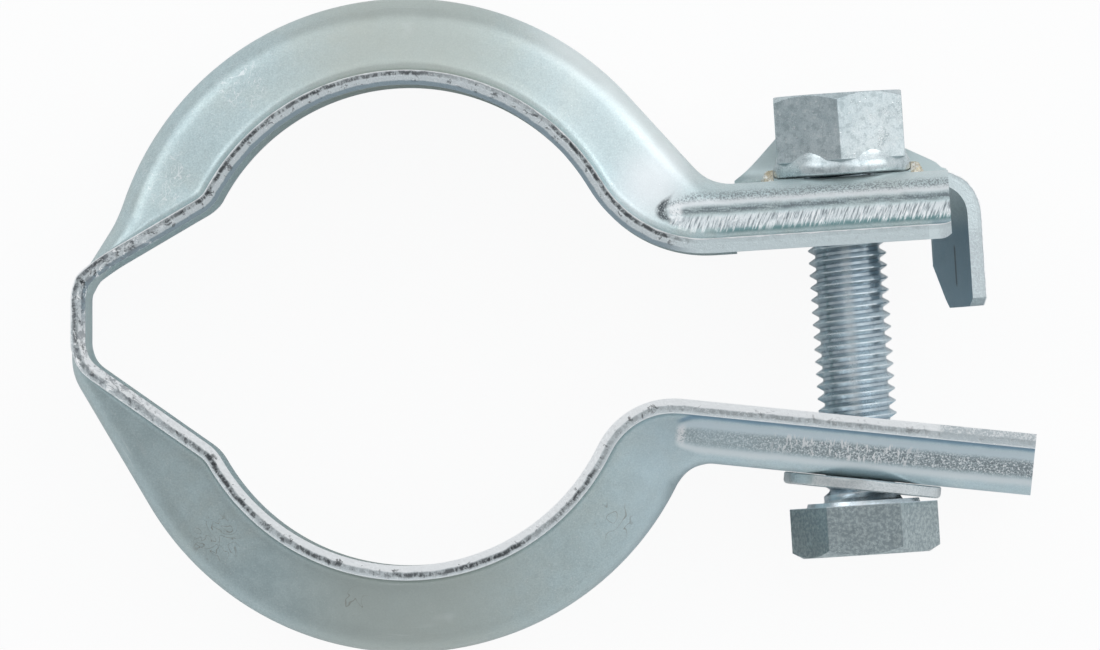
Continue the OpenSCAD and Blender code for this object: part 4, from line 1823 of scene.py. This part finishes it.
@dataclass(frozen=True)
class HexBlock:
    """A hexagonal block on +Z with turned-down corners."""

    af: float
    low: float
    high: float
    low_cut: bool = False
    high_cut: bool = False
    bore: float = 0.0
    turn: float = 0.0
    face_r: float = 0.0
    face_h: float = 0.0
    segments: int = 96
    flat_in: float = 0.1
    cut_slope: float = 30.0
    bore_cut: float = 0.6

    def outline(self, angle: float) -> float:
        """Radius of the outline at an angle.

        Args:
            angle: Angle in radians.

        Returns:
            The radius.
        """
        a = (angle - self.turn + math.pi / 6) % (math.pi / 3) - math.pi / 6
        return self.af / 2 / math.cos(math.pi / 6 - abs(a))

    def rings(self) -> list[Callable[[float], Point]]:
        """Lists the rings from which the block is skinned.

        Returns:
            For each ring, its radius and height as a function of the outline's radius.
        """
        flat = self.af / 2 - self.flat_in
        slope = math.tan(math.radians(self.cut_slope))
        top = self.high + self.face_h
        rings: list[Callable[[float], Point]] = []
        if self.low_cut:
            rings.append(lambda c: (flat, self.low))
            rings.append(lambda c: (c, self.low + max(0.0, c - flat) * slope))
        else:
            rings.append(lambda c: (c, self.low))
        if self.high_cut:
            rings.append(lambda c: (c, self.high - max(0.0, c - flat) * slope))
            rings.append(lambda c: (flat, self.high))
        else:
            rings.append(lambda c: (c, self.high))
        if self.face_r:
            rings.append(lambda c: (self.face_r, self.high))
            rings.append(lambda c: (self.face_r - 0.1, top))
        if self.bore:
            rings.append(lambda c: (self.bore + self.bore_cut, top))
            rings.append(lambda c: (self.bore, top - self.bore_cut))
            rings.append(lambda c: (self.bore, self.low + self.bore_cut))
            rings.append(lambda c: (self.bore + self.bore_cut, self.low))
        return rings

    def build(self, bm: bmesh.types.BMesh) -> None:
        """Builds the block.

        Args:
            bm: The bmesh to build in.
        """
        first = bmesh.ops.create_circle(bm, cap_ends=False, segments=self.segments, radius=1.0)["verts"]
        first = sorted(first, key=lambda v: math.atan2(v.co.y, v.co.x))
        angles = [math.atan2(v.co.y, v.co.x) for v in first]
        row = first
        for k, ring in enumerate(self.rings()):
            sizes = [ring(self.outline(a)) for a in angles]
            places = [(r * math.cos(a), r * math.sin(a), z) for a, (r, z) in zip(angles, sizes)]
            if k:
                row = grow_ring(bm, row, places)
                continue
            for v, place in zip(first, places):
                v.co = place
        if self.bore:
            bmesh.ops.bridge_loops(bm, edges=row_edges(first, True) + row_edges(row, True))
        else:
            bmesh.ops.contextual_create(bm, geom=row_edges(first, True))
            bmesh.ops.contextual_create(bm, geom=row_edges(row, True))


@dataclass
class Bolt:
    """The hex bolt, threaded to its head."""

    at: BoltPlace = BoltPlace()
    length: float = 40.0
    pitch: float = 1.25
    crest: float = 3.95
    root: float = 3.27
    af: float = 13.0
    head: float = 5.5
    face_h: float = 0.4
    face_d: float = 11.5
    thread_steps: int = 60
    point: float = 1.1
    point_r: float = 3.15
    runout: float = 1.6
    runout_r: float = 4.02

    def thread(self, bm: bmesh.types.BMesh) -> None:
        """Spins the thread about the axis.

        Args:
            bm: The bmesh.
        """
        p, steps = self.pitch, self.thread_steps
        line: Row = []
        z = -1.5 * p
        turn = ((0.1, self.root), (0.44, self.crest), (0.54, self.crest), (0.88, self.root))
        while z < self.length + 1.5 * p:
            line += [bm.verts.new((r, 0.0, z + s * p)) for s, r in turn]
            z += p
        edges = [bm.edges.new(pair) for pair in zip(line, line[1:])]
        bmesh.ops.spin(
            bm,
            geom=[*line, *edges],
            cent=(0, 0, 0),
            axis=(0, 0, 1),
            dvec=(0, 0, p / steps),
            angle=math.tau,
            steps=steps,
            use_merge=False,
        )
        bmesh.ops.remove_doubles(bm, verts=bm.verts, dist=0.004)
        for height, up in ((0.0, False), (self.length, True)):
            bmesh.ops.bisect_plane(
                bm,
                geom=[*bm.verts, *bm.edges, *bm.faces],
                plane_co=(0, 0, height),
                plane_no=(0, 0, 1 if up else -1),
                clear_outer=True,
            )
        for v in bm.verts:
            r = math.hypot(v.co.x, v.co.y)
            if r < 1e-6:
                continue
            tip = min(1.0, (self.length - v.co.z) / self.point)
            most = self.point_r + (self.crest - self.point_r) * tip
            foot = max(0.0, 1 - v.co.z / self.runout)
            least = self.root + (self.runout_r - self.root) * foot**1.5
            new = max(min(r, most), least)
            v.co.x *= new / r
            v.co.y *= new / r
        rims = [e for e in bm.edges if len(e.link_faces) == 1]
        for end in (0.0, self.length):
            rim = [e for e in rims if all(abs(v.co.z - end) < 1e-3 for v in e.verts)]
            bmesh.ops.holes_fill(bm, edges=rim, sides=0)

    def build(self) -> bpy.types.Object:
        """Builds and dresses the bolt.

        Returns:
            The object.
        """
        bm = bmesh.new()
        self.thread(bm)
        other = bmesh.new()
        low, high = -self.head, -self.face_h
        head = HexBlock(self.af, low, high, low_cut=True, face_r=self.face_d / 2, face_h=self.face_h)
        head.build(other)
        absorb(bm, other)
        bmesh.ops.recalc_face_normals(bm, faces=bm.faces)
        bmesh.ops.transform(bm, matrix=self.at.matrix(self.at.head_v), verts=bm.verts)
        finish = BoltPlate(
            "bolt zinc",
            base=(0.80, 0.88, 0.93),
            cool=(0.66, 0.75, 0.82),
            warm=(0.82, 0.88, 0.90),
            rough=0.2,
            grain=0.7,
            flecks=0.8,
        )
        piece = as_piece(as_mesh(bm, "clamp_bolt"), [finish.material()], "bolt", 28.0)
        bevelled(piece, 0.1, 24.0)
        return piece


@dataclass
class WeldNut:
    """The hex nut with its round collar."""

    at: BoltPlace = BoltPlace()
    af: float = 13.0
    height: float = 8.3
    hex_from: float = 1.5
    bore: float = 4.0
    # radius and height of the collar's outside, from its foot to its top inside the hexagon
    collar: tuple[Point, ...] = (
        (6.6, 0.0),
        (6.9, 0.14),
        (7.0, 0.4),
        (6.99, 1.0),
        (6.88, 1.35),
        (6.7, 1.75),
        (6.52, 2.3),
        (6.4, 3.0),
        (6.2, 3.05),
    )

    def build(self) -> bpy.types.Object:
        """Builds and dresses the nut.

        Returns:
            The object.
        """
        bm = bmesh.new()
        block = HexBlock(self.af, self.hex_from, self.height, high_cut=True, bore=self.bore, turn=math.pi / 6)
        block.build(bm)
        other = bmesh.new()
        turned(other, [(self.bore, 0.02), *self.collar, (self.bore, self.collar[-1][1])], 96)
        absorb(bm, other)
        bmesh.ops.recalc_face_normals(bm, faces=bm.faces)
        bmesh.ops.transform(bm, matrix=self.at.matrix(self.at.nut_v), verts=bm.verts)
        finish = ZincPlate(
            "nut zinc",
            base=(0.68, 0.75, 0.77),
            cool=(0.44, 0.54, 0.57),
            warm=(0.76, 0.80, 0.80),
            rough=0.27,
            flecks=1.0,
            mottle=0.5,
        )
        piece = as_piece(as_mesh(bm, "clamp_nut"), [finish.material()], "weld_nut", 28.0)
        bevelled(piece, 0.12, 24.0)
        return piece


@dataclass
class Washer:
    """The flat washer under the head."""

    along: float = 47.145
    v: float = 8.1
    inner: float = 4.2
    outer: float = 8.0
    thick: float = 1.2

    def build(self) -> bpy.types.Object:
        """Builds and dresses the washer.

        Returns:
            The object.
        """
        bm = bmesh.new()
        r, t = self.outer, self.thick
        # the punch rolled the outer edge, more on the far face
        rolled = [(r - 0.15, 0.0), (r, 0.12), (r, t - 0.35), (r - 0.1, t - 0.14), (r - 0.3, t - 0.02)]
        face = [(r - 0.5, t), (self.inner + 0.15, t)]
        bore = [(self.inner, t - 0.12), (self.inner, 0.1)]
        turned(bm, [(self.inner + 0.1, 0.0), *rolled, *face, *bore], 120)
        bmesh.ops.recalc_face_normals(bm, faces=bm.faces)
        local = Matrix.Translation((self.along, self.v, 0.0)) @ Matrix.Rotation(math.radians(-90), 4, "X")
        ear = Matrix.Rotation(math.radians(LOWER_TILT), 4, "Z")
        flip = Matrix.Translation((0, -SEAT_DROP, 0)) @ Matrix.Scale(-1, 4, (0, 1, 0))
        bmesh.ops.transform(bm, matrix=flip @ ear @ local, verts=bm.verts)
        bmesh.ops.recalc_face_normals(bm, faces=bm.faces)
        finish = ZincPlate(
            "washer zinc",
            base=(0.84, 0.87, 0.88),
            cool=(0.66, 0.72, 0.74),
            warm=(0.86, 0.88, 0.86),
            rough=0.2,
            flecks=0.8,
        )
        return as_piece(as_mesh(bm, "clamp_washer"), [finish.material()], "washer", 30.0)


@dataclass
class WeldBeads:
    """The two small weld beads beside the nut."""

    at: BoltPlace = BoltPlace()
    radius: float = 7.03
    leg: float = 1.3
    span: float = 16.0
    web_v: float = 9.4

    def build(self) -> bpy.types.Object:
        """Builds and dresses the beads.

        Returns:
            The object.
        """
        bm = bmesh.new()
        for side in (0.0, math.pi):
            angles = [math.pi / 2 * i / 8 for i in range(9)]
            section = [(self.radius + self.leg * math.cos(a), self.leg * math.sin(a)) for a in angles]
            line, edges = closed_line(bm, [(self.radius, 0.0), *section])
            start = side - math.radians(self.span / 2)
            bmesh.ops.rotate(bm, verts=line, cent=(0, 0, 0), matrix=Matrix.Rotation(start, 3, "Z"))
            first = bmesh.ops.contextual_create(bm, geom=edges)["faces"]
            bmesh.ops.spin(
                bm,
                geom=[*line, *edges, *first],
                cent=(0, 0, 0),
                axis=(0, 0, 1),
                angle=math.radians(self.span),
                steps=14,
            )
        bmesh.ops.recalc_face_normals(bm, faces=bm.faces)
        for v in bm.verts:
            r = math.hypot(v.co.x, v.co.y)
            a = math.atan2(v.co.y, abs(v.co.x))
            end = 1 - min(1.0, abs(a) / math.radians(self.span / 2)) ** 4
            lump = 0.8 + 0.12 * math.sin(a * 60) + 0.08 * math.sin(v.co.z * 7 + a * 31)
            swell = lump * (0.35 + 0.65 * end)
            out = self.radius + (r - self.radius) * swell
            v.co.x *= out / r
            v.co.y *= out / r
            v.co.z *= swell
        bmesh.ops.transform(bm, matrix=self.at.matrix(self.web_v), verts=bm.verts)
        finish = WeldScorch("weld scorch")
        return as_piece(as_mesh(bm, "clamp_weld"), [finish.material()], "weld_beads", 60.0)


@dataclass
class Studio:
    """Floor, light and camera."""

    floor_z: float = -11.0
    aim: Place = (14.38, -2.71, 0.0)
    stand: Place = (49.98, -21.17, 2500.0)
    view_width: float = 111.56
    lamp_aim: Place = (0.014, -0.003, 0.0)
    # way of each bright patch of the sky, the cosine at which it starts, and its strength
    patches: tuple[tuple[Place, float, float], ...] = (
        ((0.45, 0.40, 0.80), 0.86, 0.96),
        ((-0.42, 0.42, 0.80), 0.87, 0.66),
        ((0.30, -0.42, 0.86), 0.84, 0.15),
    )

    def floor(self) -> None:
        """Lays the pale floor."""
        bm = bmesh.new()
        bmesh.ops.create_grid(bm, x_segments=1, y_segments=1, size=3000.0)
        bmesh.ops.translate(bm, verts=bm.verts, vec=(14.0, -3.0, self.floor_z - 0.02))
        mesh = as_mesh(bm, "floor")
        net = MaterialNet("white paper")
        paper = net.add("ShaderNodeBsdfDiffuse", None, {"Color": (0.93, 0.93, 0.93)})
        glow = net.add("ShaderNodeEmission", None, {"Color": (1.0, 1.0, 1.0), "Strength": 1.0})
        ray = net.add("ShaderNodeLightPath")
        seen = Value(net, ray.outputs["Is Camera Ray"]) * 0.93
        both = net.add("ShaderNodeMixShader", None, {0: seen, 1: paper.outputs[0], 2: glow.outputs[0]})
        net.tree.links.new(both.outputs[0], net.tree.nodes["Material Output"].inputs["Surface"])
        mesh.materials.append(net.material)
        floor = bpy.data.objects.new("floor", mesh)
        bpy.context.scene.collection.objects.link(floor)

    def lamp(self, name: str, place: Place, size: Point, power: float, colour: Tone) -> None:
        """Hangs one soft area lamp.

        Args:
            name: Its name.
            place: Its place in metres.
            size: Its width and height.
            power: Its power in watts.
            colour: Its colour.
        """
        data = bpy.data.lights.new(name, "AREA")
        data.shape = "RECTANGLE"
        data.size, data.size_y = size
        data.energy = power
        data.color = colour
        lamp = bpy.data.objects.new(name, data)
        lamp.location = place
        lamp.rotation_euler = (Vector(self.lamp_aim) - Vector(place)).to_track_quat("-Z", "Y").to_euler()
        bpy.context.scene.collection.objects.link(lamp)

    def light(self) -> None:
        """Sets the world and the lamps."""
        world = bpy.data.worlds.new("studio")
        bpy.context.scene.world = world
        world.use_nodes = True
        net = Net(world.node_tree)
        back = net.tree.nodes["Background"]
        x, y, z = net.parts(net.add("ShaderNodeTexCoord").outputs["Generated"])
        level = 0.46 + (1 - z) * 0.22 + x * 0.12
        for way, wide, most in self.patches:
            near = x * way[0] + y * way[1] + z * way[2]
            level = level + near.ramp(wide, 0.985) * most
        net.feed(back.inputs["Color"], (0.93, 0.97, 1.0))
        net.feed(back.inputs["Strength"], level.highest(0.15))
        self.lamp("right window", (1.3, 0.6, 0.7), (0.7, 0.9), 3.2, (1.0, 0.99, 0.97))
        self.lamp("left window", (-1.1, 0.8, 0.9), (0.6, 0.8), 1.8, (0.97, 0.99, 1.0))

    def camera(self) -> None:
        """Sets the camera at the photograph's place."""
        data = bpy.data.cameras.new("camera")
        data.sensor_width = 36.0
        data.clip_end = 20.0
        eye, aim = Vector(self.stand) * MM, Vector(self.aim) * MM
        data.lens = 36.0 * (eye - aim).length / (self.view_width * MM)
        camera = bpy.data.objects.new("camera", data)
        back = (eye - aim).normalized()
        right = Vector((0, 1, 0)).cross(back).normalized()
        up = back.cross(right)
        turn = Matrix((right, up, back)).transposed().to_4x4()
        camera.matrix_world = Matrix.Translation(eye) @ turn
        bpy.context.scene.collection.objects.link(camera)
        bpy.context.scene.camera = camera

    def build(self) -> None:
        """Sets up the whole studio."""
        self.floor()
        self.light()
        self.camera()
        view = bpy.context.scene.view_settings
        view.view_transform = "Standard"
        LOG.info("studio ready")


def main() -> None:
    """Builds every piece in order."""
    logging.basicConfig(level=logging.INFO, format="%(name)s: %(message)s")
    Studio().build()
    for piece in (Strap(), Bolt(), WeldNut(), Washer(), WeldBeads()):
        made = piece.build()
        LOG.info("built %s", made.name)


if __name__ == "__main__":
    main()
